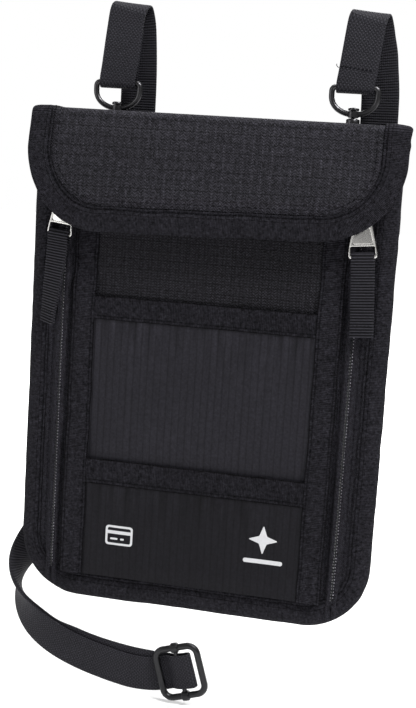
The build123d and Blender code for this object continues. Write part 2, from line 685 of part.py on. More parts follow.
def adjuster_turn():
    """Into the adjuster, round its floating bar and back out."""
    def point(distance, y):
        place = ADJ + along * distance
        return (place.X, y, place.Z)

    across = -bar_dir
    run = [
        (point(-9.6, 2.15), along, across),
        (point(-5.6, 2.10), along, across),
        (point(-3.2, 0.55), along + Vector(0, -0.75, 0), across),
    ]
    wrap_r = ROD_R + 0.12 + WEB_T / 2
    for step in range(7):
        turn = math.radians(-100 + step * 32)
        centre = point(wrap_r * math.cos(turn), ADJ.Y + wrap_r * math.sin(turn))
        travel = along * (-math.sin(turn)) + Vector(0, math.cos(turn), 0)
        run.append((centre, travel, across))
    run += [
        (point(-3.0, 2.95), along * -1 + Vector(0, 0.25, 0), across),
        (point(-6.0, 3.50), along * -1, across),
        (point(-9.6, 3.50), along * -1, across),
    ]
    return run


strap_path = (
    ring_end(*RIGHT_RING, lean=0.105, fold_z=250.0)
    + right_run()
    + loop_layer(1)
    + adjuster_turn()
    + reverse_run(loop_layer(-1))
    + [(centre, travel, (travel[2], 0, -travel[0])) for centre, travel in LEFT_RUN]
    + reverse_run(ring_end(*LEFT_RING, lean=0.10, fold_z=249.7))
)

stations = []
for centre, travel, across in strap_path:
    travel, across = squared(travel, across)
    # keep the width direction from flipping between neighbours
    if stations and across.dot(stations[-1][2]) < 0:
        across = across * -1.0
    stations.append((Vector(centre), travel, across))

with BuildPart() as neck_strap:
    for centre, travel, across in stations:
        with BuildSketch(Plane(origin=tuple(centre), x_dir=tuple(across), z_dir=tuple(travel))):
            Rectangle(WEB, WEB_T)
    loft(ruled=True)
finish(neck_strap, "neck_strap")
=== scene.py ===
"""Flat neck pouch in dark ripstop: a flap over the top, two zips, two front pockets and a webbing
neck strap on swivel hooks.

Sizes are in mm and become metres as meshes are made. The front faces -Y, the back panel lies
near y = 0, left is -X, and Z rises from the lower edge of the pouch.
"""

import math
from contextlib import contextmanager

import bmesh
import bpy
import numpy as np
from mathutils import Matrix, Vector


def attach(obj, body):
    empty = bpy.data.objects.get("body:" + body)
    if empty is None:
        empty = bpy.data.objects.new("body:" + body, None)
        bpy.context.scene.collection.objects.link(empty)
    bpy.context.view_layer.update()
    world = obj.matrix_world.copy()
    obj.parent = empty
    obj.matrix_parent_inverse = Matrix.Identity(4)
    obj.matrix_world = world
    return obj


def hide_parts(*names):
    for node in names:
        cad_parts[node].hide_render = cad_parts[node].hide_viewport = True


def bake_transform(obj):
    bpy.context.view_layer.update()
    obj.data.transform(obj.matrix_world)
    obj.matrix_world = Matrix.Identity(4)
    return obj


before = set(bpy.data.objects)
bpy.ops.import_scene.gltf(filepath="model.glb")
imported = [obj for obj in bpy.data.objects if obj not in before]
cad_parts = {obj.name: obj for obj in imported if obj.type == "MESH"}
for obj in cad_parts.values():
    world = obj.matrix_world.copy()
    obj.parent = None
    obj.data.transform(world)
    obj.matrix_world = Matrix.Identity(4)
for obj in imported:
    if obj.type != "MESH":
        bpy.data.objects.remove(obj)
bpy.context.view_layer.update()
MM = 0.001
PI = math.pi
X_AXIS, Y_AXIS, Z_AXIS = (1.0, 0, 0), (0, 1, 0), (0, 0, 1)
FRONT = (0, -1, 0)
SIDES = (("left", -1), ("right", 1))

# ---------------------------------------------------------------- shared sizes
HALF_W, BIND_TOP, CORNER_R = 75.0, 203.0, 27.0
STRIP_X, STRIP_W = 46.0, 10.0  # side tapes: inner edge and width
ZIP_X = 60.5
UPPER_HEM = (121.1, 130.8)
LOWER_HEM = (51.6, 62.2)


# ---------------------------------------------------------------- numbers and paths
def noise(x, y, seed):
    """Smooth value noise in -1..1."""
    x, y = np.broadcast_arrays(np.asarray(x, float), np.asarray(y, float))
    cell_x, cell_y = np.floor(x).astype(np.int64), np.floor(y).astype(np.int64)
    part_x, part_y = x - cell_x, y - cell_y

    def corner(i, j):
        mixed = (i * 374761393 + j * 668265263 + seed * 1442695041) & 0xFFFFFFFF
        mixed = ((mixed ^ (mixed >> 13)) * 1274126177) & 0xFFFFFFFF
        return ((mixed ^ (mixed >> 16)) & 0xFFFF) / 65535.0

    mix_x = part_x * part_x * (3 - 2 * part_x)
    mix_y = part_y * part_y * (3 - 2 * part_y)
    low = corner(cell_x, cell_y) * (1 - mix_x) + corner(cell_x + 1, cell_y) * mix_x
    high = corner(cell_x, cell_y + 1) * (1 - mix_x) + corner(cell_x + 1, cell_y + 1) * mix_x
    return 2 * (low * (1 - mix_y) + high * mix_y) - 1


def ease(start, end, x):
    """0 before start, 1 after end, smooth between."""
    part = np.clip((np.asarray(x, float) - start) / (end - start), 0, 1)
    return part * part * (3 - 2 * part)


def window(x, low, high, soft):
    """1 between low and high, with soft shoulders inside them."""
    return ease(low, low + soft, x) * (1 - ease(high - soft, high, x))


def bell(x, centre, width):
    return np.exp(-(((x - centre) / width) ** 2))


def xyz(x, y, z):
    return np.stack(np.broadcast_arrays(x, y, z), -1)


def unit(vectors):
    return vectors / np.maximum(np.linalg.norm(vectors, axis=-1, keepdims=True), 1e-9)


def tangents(points):
    return unit(np.gradient(points, axis=0))


def arc_length(points):
    steps = np.linalg.norm(np.diff(points, axis=0), axis=1)
    return np.concatenate([[0], np.cumsum(steps)])


def resample(points, places, wanted):
    """Points at the wanted places along a path."""
    return np.stack([np.interp(wanted, places, column) for column in np.asarray(points).T], -1)


def relax(points, times=1):
    """Rounds a path, keeping its ends."""
    for _ in range(times):
        points = points.copy()
        points[1:-1] = (points[:-2] + 2 * points[1:-1] + points[2:]) / 4
    return points


def soft_fold(control, spacing, times):
    """Evenly spaced, rounded path through control points."""
    control = np.array(control)
    places = arc_length(control)
    return relax(resample(control, places, np.arange(0, places[-1], spacing)), times)


def densify(path):
    """Closed 2D path with steps no longer than about 0.8."""
    dense = []
    for i in range(len(path)):
        start, end = Vector(path[i]), Vector(path[(i + 1) % len(path)])
        count = max(1, int((end - start).length / 0.8))
        dense += [start.lerp(end, k / count) for k in range(count)]
    return dense


def rounded(polygon, radii, segments=6):
    """Polygon with rounded corners."""
    if not hasattr(radii, "__len__"):
        radii = [radii] * len(polygon)
    outline = []
    for i, radius in enumerate(radii):
        point = Vector(polygon[i])
        before = Vector(polygon[i - 1]) - point
        after = Vector(polygon[(i + 1) % len(polygon)]) - point
        room_before, room_after = before.length, after.length
        before.normalize()
        after.normalize()
        angle = before.angle(after)
        if radius <= 0 or angle > PI - 1e-3:
            outline.append(tuple(point))
            continue
        cut = min(radius / math.tan(angle / 2), room_before * 0.49, room_after * 0.49)
        fitted = cut * math.tan(angle / 2)
        centre = point + (before + after).normalized() * (fitted / math.sin(angle / 2))
        start, end = point + before * cut - centre, point + after * cut - centre
        first = math.atan2(start.y, start.x)
        sweep_angle = (math.atan2(end.y, end.x) - first + PI) % (2 * PI) - PI
        for k in range(segments + 1):
            turn = first + sweep_angle * k / segments
            outline.append((centre.x + fitted * math.cos(turn), centre.y + fitted * math.sin(turn)))
    return outline


def rect(x0, y0, x1, y1, radius):
    return rounded([(x0, y0), (x1, y0), (x1, y1), (x0, y1)], radius)


def u_path(half, top, radius):
    """(x, z) down the left side, along the bottom and up the right, with inward directions."""
    step = 0.8
    points, inward = [], []
    side_count = int((top - radius) / step)
    arc_count = int(radius * PI / 2 / step)
    base_count = int((2 * half - 2 * radius) / step)

    def arc(centre_x, start):
        for k in range(arc_count):
            turn = start + PI / 2 * k / arc_count
            points.append((centre_x + radius * math.cos(turn), radius + radius * math.sin(turn)))
            inward.append((-math.cos(turn), -math.sin(turn)))

    for k in range(side_count):
        points.append((-half, top - (top - radius) * k / side_count))
        inward.append((1, 0))
    arc(-half + radius, PI)
    for k in range(base_count):
        points.append((-half + radius + (2 * half - 2 * radius) * k / base_count, 0))
        inward.append((0, 1))
    arc(half - radius, 3 * PI / 2)
    for k in range(side_count + 1):
        points.append((half, radius + (top - radius) * k / side_count))
        inward.append((-1, 0))
    return np.array(points), np.array(inward)


# ---------------------------------------------------------------- mesh builders
def link(obj):
    bpy.context.scene.collection.objects.link(obj)
    return obj


def add_object(name, mesh, angle):
    """Object with smooth shading and edges sharp beyond the angle in degrees."""
    mesh.shade_smooth()
    mesh.set_sharp_from_angle(angle=math.radians(angle))
    return link(bpy.data.objects.new(name, mesh))


@contextmanager
def editing(mesh):
    geom = bmesh.new()
    geom.from_mesh(mesh)
    yield geom
    geom.to_mesh(mesh)
    geom.free()


def build(name, verts, faces, uvs, mats, face_mats=None, angle=38, recalc=True):
    mesh = bpy.data.meshes.new(name)
    scaled = (np.asarray(verts, float) * MM).tolist()
    mesh.from_pydata(scaled, [], [list(map(int, face)) for face in faces])
    layer = mesh.uv_layers.new(name="UVMap")
    layer.data.foreach_set("uv", np.asarray(uvs, np.float32).ravel())
    for mat in mats:
        mesh.materials.append(mat)
    if face_mats is not None:
        mesh.polygons.foreach_set("material_index", np.asarray(face_mats, np.int32))
    if recalc:
        with editing(mesh) as geom:
            bmesh.ops.recalc_face_normals(geom, faces=geom.faces)
    return add_object(name, mesh, angle)


def place(obj, body, slot, *nodes):
    """Fixes an object to a body and hides the CAD nodes it stands in for; the slot is not used."""
    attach(obj, body)
    if nodes:
        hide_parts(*nodes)


def grid(x0, x1, low, top, step):
    """Grid of x and z; low is a height or a function of x."""
    x = np.linspace(x0, x1, max(2, int(abs(x1 - x0) / step) + 1))
    base = low(x) if callable(low) else np.full_like(x, low)
    rows = max(2, int((top - base.min()) / step) + 1)
    x, share = np.meshgrid(x, np.linspace(0, 1, rows), indexing="ij")
    base = base[:, None]
    return x, base + (top - base) * share


def sheet(name, points, thick, mat, uv=None, front=FRONT):
    """Closed thin shell from a grid of outer points; the thickness goes behind them."""
    rows, cols, _ = points.shape
    if uv is None:
        uv = points[..., ::2]
    normal = unit(np.cross(np.gradient(points, axis=0), np.gradient(points, axis=1)))
    if (normal @ np.asarray(front, float)).mean() < 0:
        normal = -normal
    thick = np.broadcast_to(np.asarray(thick, float), (rows, cols))[..., None]
    verts = np.concatenate([points.reshape(-1, 3), (points - normal * thick).reshape(-1, 3)])
    behind = rows * cols
    index = np.arange(behind).reshape(rows, cols)
    quads = np.stack([index[:-1, :-1], index[1:, :-1], index[1:, 1:], index[:-1, 1:]], -1)
    quads = quads.reshape(-1, 4)
    faces = [quads, quads[:, ::-1] + behind]
    for rim in (index[:, 0], index[-1, :], index[::-1, -1], index[0, ::-1]):
        faces.append(np.stack([rim[:-1], rim[1:], rim[1:] + behind, rim[:-1] + behind], -1))
    faces = np.concatenate(faces)
    return build(name, verts, faces, np.concatenate([uv.reshape(-1, 2)] * 2)[faces], [mat])


def loft(name, rings, along, outline, mats, closed=False, face_mats=None, angle=38):
    """Skin over rings of points; u is the distance along, v the distance round the outline."""
    count, size = rings.shape[:2]
    around = arc_length(np.vstack([outline, outline[:1]]))
    faces, uvs = [], []
    for i in range(count if closed else count - 1):
        here, there = i * size, (i + 1) % count * size
        for j in range(size):
            side = (j + 1) % size
            faces.append((here + j, here + side, there + side, there + j))
            uvs += [(along[i], around[j]), (along[i], around[j + 1]),
                    (along[i + 1], around[j + 1]), (along[i + 1], around[j])]
    if not closed:
        for i, order in ((0, range(size - 1, -1, -1)), (count - 1, range(size))):
            faces.append([i * size + j for j in order])
            uvs += [(along[i], around[j]) for j in order]
    return build(name, rings.reshape(-1, 3), faces, uvs, mats, face_mats, angle)


def sweep(name, centres, wide, out, outline, mats, closed=False, face_mats=None, angle=38):
    """Sweeps a closed outline (first column along wide, second along out) over centres."""
    centres, outline = np.asarray(centres, float), np.asarray(outline, float)
    wide, out = (np.broadcast_to(np.asarray(a, float), centres.shape) for a in (wide, out))
    if outline.ndim == 2:
        outline = np.broadcast_to(outline, (len(centres),) + outline.shape)
    rings = centres[:, None] + outline[..., :1] * wide[:, None] + outline[..., 1:] * out[:, None]
    along = arc_length(centres)
    if closed:
        along = np.append(along, along[-1] + np.linalg.norm(centres[0] - centres[-1]))
    return loft(name, rings, along, outline[0], mats, closed, face_mats, angle)


def side_sweep(name, x, path, outline, mat, angle=38):
    """Sweeps an outline along a (y, z) path at one x."""
    centres = np.column_stack([np.full(len(path), x), path])
    out = np.cross(tangents(centres), X_AXIS)
    return sweep(name, centres, X_AXIS, out, outline, [mat], angle=angle)


def tube(name, points, radius, mat, segments, closed=True):
    """Round wire along a path square to Y."""
    points = np.asarray(points, float)
    if closed:
        run = unit(np.roll(points, -1, 0) - np.roll(points, 1, 0))
    else:
        run = tangents(points)
    side = np.broadcast_to(np.asarray(Y_AXIS, float), points.shape)
    side = unit(side - run * (side * run).sum(1, keepdims=True))
    turns = [2 * PI * k / segments for k in range(segments)]
    outline = [(radius * math.cos(turn), radius * math.sin(turn)) for turn in turns]
    return sweep(name, points, np.cross(run, side), side, outline, [mat], closed, angle=60)


def lathe(name, profile, centre, mat, axis=Z_AXIS, segments=28):
    """Turned shape: profile of (radius, height) about an axis."""
    axis = Vector(axis).normalized()
    across = axis.orthogonal().normalized()
    third = axis.cross(across)
    verts, faces, uvs = [], [], []
    for k in range(segments):
        turn = 2 * PI * k / segments
        spoke = across * math.cos(turn) + third * math.sin(turn)
        verts += [tuple(Vector(centre) + spoke * r + axis * height) for r, height in profile]
    size = len(profile)
    for k in range(segments):
        here, there = k * size, (k + 1) % segments * size
        for j in range(size - 1):
            faces.append((here + j, there + j, there + j + 1, here + j + 1))
            uvs += [(k, j), (k + 1, j), (k + 1, j + 1), (k, j + 1)]
    obj = build(name, verts, faces, uvs, [mat], angle=35, recalc=False)
    with editing(obj.data) as geom:
        bmesh.ops.remove_doubles(geom, verts=geom.verts, dist=1e-6)
        bmesh.ops.dissolve_degenerate(geom, edges=geom.edges, dist=1e-7)
        bmesh.ops.recalc_face_normals(geom, faces=geom.faces)
    return obj


def plate(name, loops, origin, thick, bevel, mat, res=2, wide=X_AXIS, tall=Z_AXIS):
    """Filled outline with holes in the (wide, tall) plane, thickened both ways and bevelled."""
    curve = bpy.data.curves.new(name + "_curve", "CURVE")
    curve.dimensions = "2D"
    curve.fill_mode = "BOTH"
    curve.extrude = (thick / 2 - bevel) * MM
    curve.bevel_depth = bevel * MM
    curve.bevel_resolution = res
    curve.offset = -bevel * MM
    for loop in loops:
        spline = curve.splines.new("POLY")
        spline.points.add(len(loop) - 1)
        for point, (x, y) in zip(spline.points, loop):
            point.co = (x * MM, y * MM, 0, 1)
        spline.use_cyclic_u = True
    temp = link(bpy.data.objects.new(name + "_temp", curve))
    bpy.context.view_layer.update()
    graph = bpy.context.evaluated_depsgraph_get()
    mesh = bpy.data.meshes.new_from_object(temp.evaluated_get(graph))
    bpy.data.objects.remove(temp)
    bpy.data.curves.remove(curve)
    wide, tall = Vector(wide).normalized(), Vector(tall).normalized()
    columns = zip(wide, tall, wide.cross(tall), Vector(origin) * MM)
    mesh.transform(Matrix((*columns, (0, 0, 0, 1))))
    with editing(mesh) as geom:
        bmesh.ops.remove_doubles(geom, verts=geom.verts, dist=2e-6)
        bmesh.ops.recalc_face_normals(geom, faces=geom.faces)
    mesh.name = name
    mesh.materials.clear()
    mesh.materials.append(mat)
    return add_object(name, mesh, 35)


def join(name, parts):
    """One object from several, keeping their materials."""
    geom = bmesh.new()
    mats, joined = [], bpy.data.meshes.new(name)
    for part in parts:
        mesh = part.data.copy()
        remap = []
        for mat in mesh.materials:
            if mat not in mats:
                mats.append(mat)
            remap.append(mats.index(mat))
        index = np.zeros(len(mesh.polygons), np.int32)
        mesh.polygons.foreach_get("material_index", index)
        index = np.array([remap[min(i, len(remap) - 1)] for i in index], np.int32)
        mesh.polygons.foreach_set("material_index", index)
        geom.from_mesh(mesh)
        bpy.data.meshes.remove(mesh)
        bpy.data.objects.remove(part)
    geom.to_mesh(joined)
    geom.free()
    for mat in mats:
        joined.materials.append(mat)
    return add_object(name, joined, 38)


def xz_uv(verts, faces):
    return [(verts[i][0], verts[i][2]) for face in faces for i in face]


class Stitches:
    """Rows of small sewn stitches, all in one mesh."""

    def __init__(self):
        self.verts, self.faces = [], []
        ring = [(math.cos(2 * PI * k / 6), math.sin(2 * PI * k / 6)) for k in range(6)]
        shape = [(-1.0, 0, 0)]
        for x, radius in ((-0.72, 0.78), (0.0, 1.0), (0.72, 0.78)):
            shape += [(x, radius * y, radius * z) for y, z in ring]
        shape.append((1.0, 0, 0))
        self.shape = np.array(shape)
        faces = [(0, 1 + (k + 1) % 6, 1 + k) for k in range(6)]
        for band in range(2):
            for k in range(6):
                i, j = 1 + band * 6 + k, 1 + band * 6 + (k + 1) % 6
                faces.append((i, j, j + 6, i + 6))
        self.shape_faces = faces + [(19, 13 + k, 13 + (k + 1) % 6) for k in range(6)]

    def row(self, points, normal, pitch=2.6, length=1.9, radius=0.2, sink=0.06, start=0.6):
        points = np.asarray(points, float)
        normals = np.broadcast_to(np.asarray(normal, float), points.shape)
        places = arc_length(points)
        place_at = start + length / 2
        while place_at + length / 2 < places[-1]:
            centre = resample(points, places, place_at)
            run = unit(resample(points, places, place_at + 0.4) - centre)
            out = resample(normals, places, place_at)
            out = unit(out - run * (out @ run))
            side = np.cross(run, out)
            shape, first = self.shape, 20 * len(self.verts)
            self.verts.append(centre - out * sink + shape[:, :1] * run * length / 2
                              + shape[:, 1:2] * out * radius + shape[:, 2:] * side * radius)
            self.faces += [tuple(i + first for i in face) for face in self.shape_faces]
            place_at += pitch

    def build(self, name, mat):
        verts = np.concatenate(self.verts)
        return build(name, verts, self.faces, xz_uv(verts, self.faces), [mat], angle=180)


# ---------------------------------------------------------------- shader tools
TONE = 0.78  # overall darkening of the cloth colours
TINT = (1.015, 1.0, 1.08)  # slight violet cast of the cloth
SPEC_SCALE, SHEEN_SCALE = 0.22, 0.05  # how much of the given specular and sheen is used


class Shader:
    """A material with a Principled surface, and short ways to add nodes to it."""

    def __init__(self, name):
        self.material = bpy.data.materials.new(name)
        self.material.use_nodes = True
        self.tree = self.material.node_tree
        self.tree.nodes.clear()
        output = self.node("ShaderNodeOutputMaterial")
        self.surface = self.node("ShaderNodeBsdfPrincipled")
        self.tree.links.new(self.surface.outputs[0], output.inputs[0])

    def node(self, kind, **settings):
        node = self.tree.nodes.new(kind)
        for key, value in settings.items():
            setattr(node, key, value)
        return node

    def put(self, socket, value):
        """Sets a socket to a number or tuple, or links another socket to it."""
        if isinstance(value, (int, float, tuple)):
            socket.default_value = value
        else:
            self.tree.links.new(value, socket)

    def set(self, **inputs):
        """Surface inputs by name, with _ for spaces."""
        for key, value in inputs.items():
            self.put(self.surface.inputs[key.replace("_", " ")], value)

    def math(self, operation, *values, clamp=False):
        node = self.node("ShaderNodeMath", operation=operation, use_clamp=clamp)
        for socket, value in zip(node.inputs, values):
            self.put(socket, value)
        return node.outputs[0]

    def mul(self, one, other, clamp=False):
        return self.math("MULTIPLY", one, other, clamp=clamp)

    def power(self, value, exponent):
        return self.math("POWER", value, exponent)

    def linear(self, value, gain, plus, clamp=False):
        return self.math("MULTIPLY_ADD", value, gain, plus, clamp=clamp)

    def add_up(self, base, *terms):
        """Base plus each (pattern, weight)."""
        for pattern, weight in terms:
            base = self.linear(pattern, gain=weight, plus=base)
        return base

    def uv(self):
        """Sockets for u (along), v (across) and both together."""
        both = self.node("ShaderNodeUVMap").outputs[0]
        parts = self.node("ShaderNodeSeparateXYZ")
        self.tree.links.new(both, parts.inputs[0])
        return parts.outputs[0], parts.outputs[1], both

    def object_coords(self):
        return self.node("ShaderNodeTexCoord").outputs["Object"]

    def noise(self, vector, scale=1.0, detail=3.0, rough=0.55, stretch=None):
        if stretch is not None:
            mapping = self.node("ShaderNodeMapping")
            self.put(mapping.inputs[0], vector)
            mapping.inputs["Scale"].default_value = stretch
            vector = mapping.outputs[0]
        node = self.node("ShaderNodeTexNoise")
        for key, value in (("Vector", vector), ("Scale", scale), ("Detail", detail),
                           ("Roughness", rough)):
            self.put(node.inputs[key], value)
        return node.outputs[0]

    def wave(self, value, pitch, phase=0.0):
        """0..1 sine of a coordinate in mm."""
        angle = self.linear(value, gain=2 * PI / pitch, plus=phase)
        return self.linear(self.math("SINE", angle), gain=0.5, plus=0.5)

    def line(self, value, centre, half):
        """1 where the coordinate is at the centre, falling to 0 at half mm either side."""
        off = self.math("ABSOLUTE", self.math("SUBTRACT", value, centre))
        return self.math("SUBTRACT", 1.0, self.math("DIVIDE", off, half), clamp=True)

    def edge_shade_and_stitches(self, shade, along, across, edges, rows):
        """Darkens folded edges with painted shade, and darkens dashed stitch rows, both given as
        (place, half width).
        """
        dash = self.linear(self.wave(along, pitch=2.5), gain=0.75, plus=0.45, clamp=True)
        marks = [self.mul(self.line(across, *edge), 1.3, clamp=True) for edge in edges]
        for row in rows:
            marks.append(self.mul(self.mul(self.line(across, *row), 1.5, clamp=True), dash))
        dark = marks[0]
        for mark_value in marks[1:]:
            dark = self.math("MAXIMUM", dark, mark_value)
        return self.mul(shade, self.linear(dark, gain=-0.85, plus=1.0))

    def tinted(self, colour, factor):
        """Colour times a factor socket."""
        node = self.node("ShaderNodeVectorMath", operation="SCALE")
        self.put(node.inputs[0], tuple(colour))
        self.put(node.inputs["Scale"], factor)
        return node.outputs[0]

    def bump(self, height, depth, strength=1.0, normal=None):
        """Depth in mm."""
        node = self.node("ShaderNodeBump")
        node.inputs["Strength"].default_value = strength
        node.inputs["Distance"].default_value = depth * MM
        self.put(node.inputs["Height"], height)
        if normal is not None:
            self.put(node.inputs["Normal"], normal)
        return node.outputs[0]

    def cloth(self, colour, shade, height, depth, rough=0.82, sheen=0.25, spec=0.28, grain=4.2):
        """Finishes a cloth: blotches and fuzz over the given shade and height patterns."""
        blotches = self.noise(self.object_coords(), scale=28.0)
        shade = self.mul(shade, self.linear(blotches, gain=0.5, plus=0.75))
        fuzz = self.noise(self.object_coords(), scale=950.0, rough=0.75)
        speckle = self.linear(fuzz, gain=grain, plus=1.0 - grain * 0.5)
        shade = self.mul(shade, self.math("MAXIMUM", speckle, 0.12))
        fine = self.bump(fuzz, depth=0.10, strength=0.8)
        self.set(
            Base_Color=self.tinted([c * TONE * k for c, k in zip(colour, TINT)], shade),
            Normal=self.bump(height, depth, normal=fine), Roughness=rough,
            Specular_IOR_Level=spec * SPEC_SCALE, Sheen_Weight=sheen * SHEEN_SCALE,
            Sheen_Roughness=0.45, Sheen_Tint=(0.80, 0.80, 0.88, 1))
        return self.material


# ---------------------------------------------------------------- materials
def ripstop(name, colour, grid_gain=1.0, lattice_gain=0.45):
    """Herringbone weave with a grid of thicker threads."""
    mat = Shader(name)
    along, across, _ = mat.uv()
    plain = mat.mul(mat.wave(along, pitch=0.62), mat.wave(across, pitch=0.62))
    diagonal = mat.wave(mat.math("ADD", along, across), pitch=0.95)
    weave = mat.linear(plain, gain=0.7, plus=mat.mul(diagonal, 0.3))
    upright = mat.power(mat.wave(along, pitch=3.85), exponent=14.0)
    level = mat.power(mat.wave(across, pitch=3.85, phase=0.7), exponent=26.0)
    dots = mat.mul(upright, mat.wave(across, pitch=1.28))
    zigzag = mat.math("PINGPONG", along, 1.2)
    herring = mat.wave(mat.linear(zigzag, gain=0.9, plus=across), pitch=1.15)
    lattice = mat.mul(mat.wave(along, pitch=1.28), mat.wave(across, pitch=1.1))
    shade = mat.add_up(
        0.50, (herring, 0.62), (weave, 0.20), (mat.power(lattice, exponent=2.0), lattice_gain),
        (level, -0.40 * grid_gain), (dots, 0.95 * grid_gain))
    height = mat.add_up(weave, (herring, 0.8), (mat.math("MAXIMUM", upright, level), 0.9))
    return mat.cloth(colour, shade, height, depth=0.14, rough=0.70, sheen=0.22, spec=0.5)


def satin(name, colour, gather):
    """Smooth nylon with upright streaks, and painted shade and light in bands just below the
    gathered height, standing in for creases.
    """
    mat = Shader(name)
    along, across, both = mat.uv()
    streak = mat.noise(both, detail=4.0, rough=0.6, stretch=(0.42, 0.012, 1))
    fine = mat.noise(both, detail=2.0, rough=0.5, stretch=(3.2, 0.25, 1))
    rib = mat.power(mat.wave(along, pitch=2.9), exponent=10.0)
    shade = mat.add_up(0.62, (streak, 0.58), (fine, 0.30), (rib, -0.32))
    # painted shade and light of creases: dark and light bands in the colour, fading over 20 mm
    # below the gathered height
    below = mat.math("DIVIDE", mat.math("SUBTRACT", gather, across), 20.0)
    near = mat.math("SUBTRACT", 1.0, below, clamp=True)
    painted_fold_shade = mat.noise(both, detail=2.0, rough=0.6, stretch=(0.33, 0.035, 1))
    painted_fold_shade = mat.mul(mat.math("SUBTRACT", painted_fold_shade, 0.5), near)
    shade = mat.mul(shade, mat.linear(painted_fold_shade, gain=2.5, plus=1.0))
    shade = mat.math("MAXIMUM", shade, 0.2)
    weave = mat.mul(mat.wave(along, pitch=0.42), mat.wave(across, pitch=0.42))
    height = mat.linear(rib, gain=-0.5, plus=mat.linear(weave, gain=0.35, plus=streak))
    return mat.cloth(colour, shade, height, depth=0.10, rough=0.60, sheen=0.35, spec=0.50,
                     grain=1.7)


def tape(name, colour, pitch, depth, mottle, edges, rows):
    """Plain woven tape: fine ribs across it, u runs along it."""
    mat = Shader(name)
    along, across, both = mat.uv()
    rib = mat.wave(along, pitch)
    yarn = mat.wave(across, pitch=0.5)
    spots = mat.noise(both, scale=0.50, rough=0.75)
    shade = mat.add_up(0.62, (rib, 0.30), (mat.mul(rib, yarn), 0.22), (spots, mottle))
    shade = mat.math("SUBTRACT", shade, mottle * 0.5 - 0.08)
    shade = mat.math("MAXIMUM", shade, 0.25)
    # painted shade along the folded edges, and dashed stitch rows
    shade = mat.edge_shade_and_stitches(shade, along, across, edges, rows)
    height = mat.add_up(rib, (yarn, 0.3), (spots, 2.2))
    return mat.cloth(colour, shade, height, depth, rough=0.80, sheen=0.26)


def fine_webbing(name, colour):
    mat = Shader(name)
    along, across, _ = mat.uv()
    rising = mat.wave(mat.math("ADD", along, across), pitch=1.5)
    falling = mat.wave(mat.math("SUBTRACT", along, across), pitch=1.5)
    chevron = mat.mul(rising, falling)
    yarn = mat.wave(across, pitch=0.75)
    shade = mat.add_up(0.42, (chevron, 1.15), (mat.wave(along, pitch=1.06), 0.40), (yarn, 0.12))
    height = mat.linear(yarn, gain=0.4, plus=chevron)
    return mat.cloth(colour, shade, height, depth=0.16, rough=0.60, sheen=0.28, spec=0.60,
                     grain=1.1)


def ribbed_webbing(name, colour):
    mat = Shader(name)
    along, across, _ = mat.uv()
    groove = mat.power(mat.wave(along, pitch=1.02), exponent=0.6)
    yarn = mat.wave(across, pitch=0.8)
    shade = mat.add_up(0.22, (groove, 1.05), (yarn, 0.12))
    height = mat.linear(yarn, gain=0.18, plus=groove)
    return mat.cloth(colour, shade, height, depth=0.28, rough=0.62, spec=0.55, grain=1.0)


def grosgrain(name, colour):
    mat = Shader(name)
    along, across, _ = mat.uv()
    yarn = mat.wave(across, pitch=0.5)
    rib = mat.wave(along, pitch=1.12)
    shade = mat.add_up(0.18, (mat.power(rib, exponent=1.6), 2.3), (yarn, 0.15))
    height = mat.linear(yarn, gain=0.4, plus=rib)
    return mat.cloth(colour, shade, height, depth=0.08, rough=0.66, sheen=0.2, spec=0.5,
                     grain=1.2)


def zip_knit(name, colour):
    mat = Shader(name)
    along, across, _ = mat.uv()
    column = mat.wave(along, pitch=0.55)
    knit = mat.mul(mat.wave(mat.math("ADD", across, along), pitch=0.9), column)
    shade = mat.linear(knit, gain=0.55, plus=0.68)
    height = mat.linear(column, gain=0.5, plus=knit)
    return mat.cloth(colour, shade, height, depth=0.14, rough=0.8, sheen=0.2)


def plain_cloth(name, colour, pitch):
    mat = Shader(name)
    along, across, _ = mat.uv()
    weave = mat.mul(mat.wave(along, pitch), mat.wave(across, pitch))
    shade = mat.linear(weave, gain=0.4, plus=0.8)
    return mat.cloth(colour, shade, weave, depth=0.08, rough=0.8, sheen=0.2, spec=0.3)


def pile(name, colour, scale):
    """Hook or loop surface made of small cells."""
    mat = Shader(name)
    cells = mat.node("ShaderNodeTexVoronoi")
    mat.put(cells.inputs["Vector"], mat.uv()[2])
    cells.inputs["Scale"].default_value = scale
    reach = cells.outputs["Distance"]
    shade = mat.linear(reach, gain=-0.9, plus=1.3)
    height = mat.math("SUBTRACT", 1.0, reach)
    return mat.cloth(colour, shade, height, depth=0.35, rough=0.9, sheen=0.3, spec=0.2)


def metal(name, colour, rough, scratch):
    mat = Shader(name)
    coords = mat.object_coords()
    fine = mat.noise(coords, scale=900.0, detail=4.0)
    patches = mat.noise(coords, scale=120.0)
    mat.set(Base_Color=mat.tinted(colour, mat.linear(patches, gain=0.25, plus=0.88)),
            Roughness=mat.linear(fine, gain=scratch * 0.5, plus=rough),
            Normal=mat.bump(fine, depth=0.012, strength=0.5))
    return mat


def speckled(name, colour, scale, detail, gain, plus, depth, strength, **surface):
    """Smooth stuff whose colour and relief follow one noise."""
    mat = Shader(name)
    grain = mat.noise(mat.object_coords(), scale, detail)
    mat.set(Base_Color=mat.tinted(colour, mat.linear(grain, gain, plus)),
            Normal=mat.bump(grain, depth, strength), **surface)
    return mat.material


def full_metal(name, colour, rough, scratch=0.3, metallic=1.0):
    mat = metal(name, colour, rough, scratch)
    mat.set(Metallic=metallic)
    return mat.material


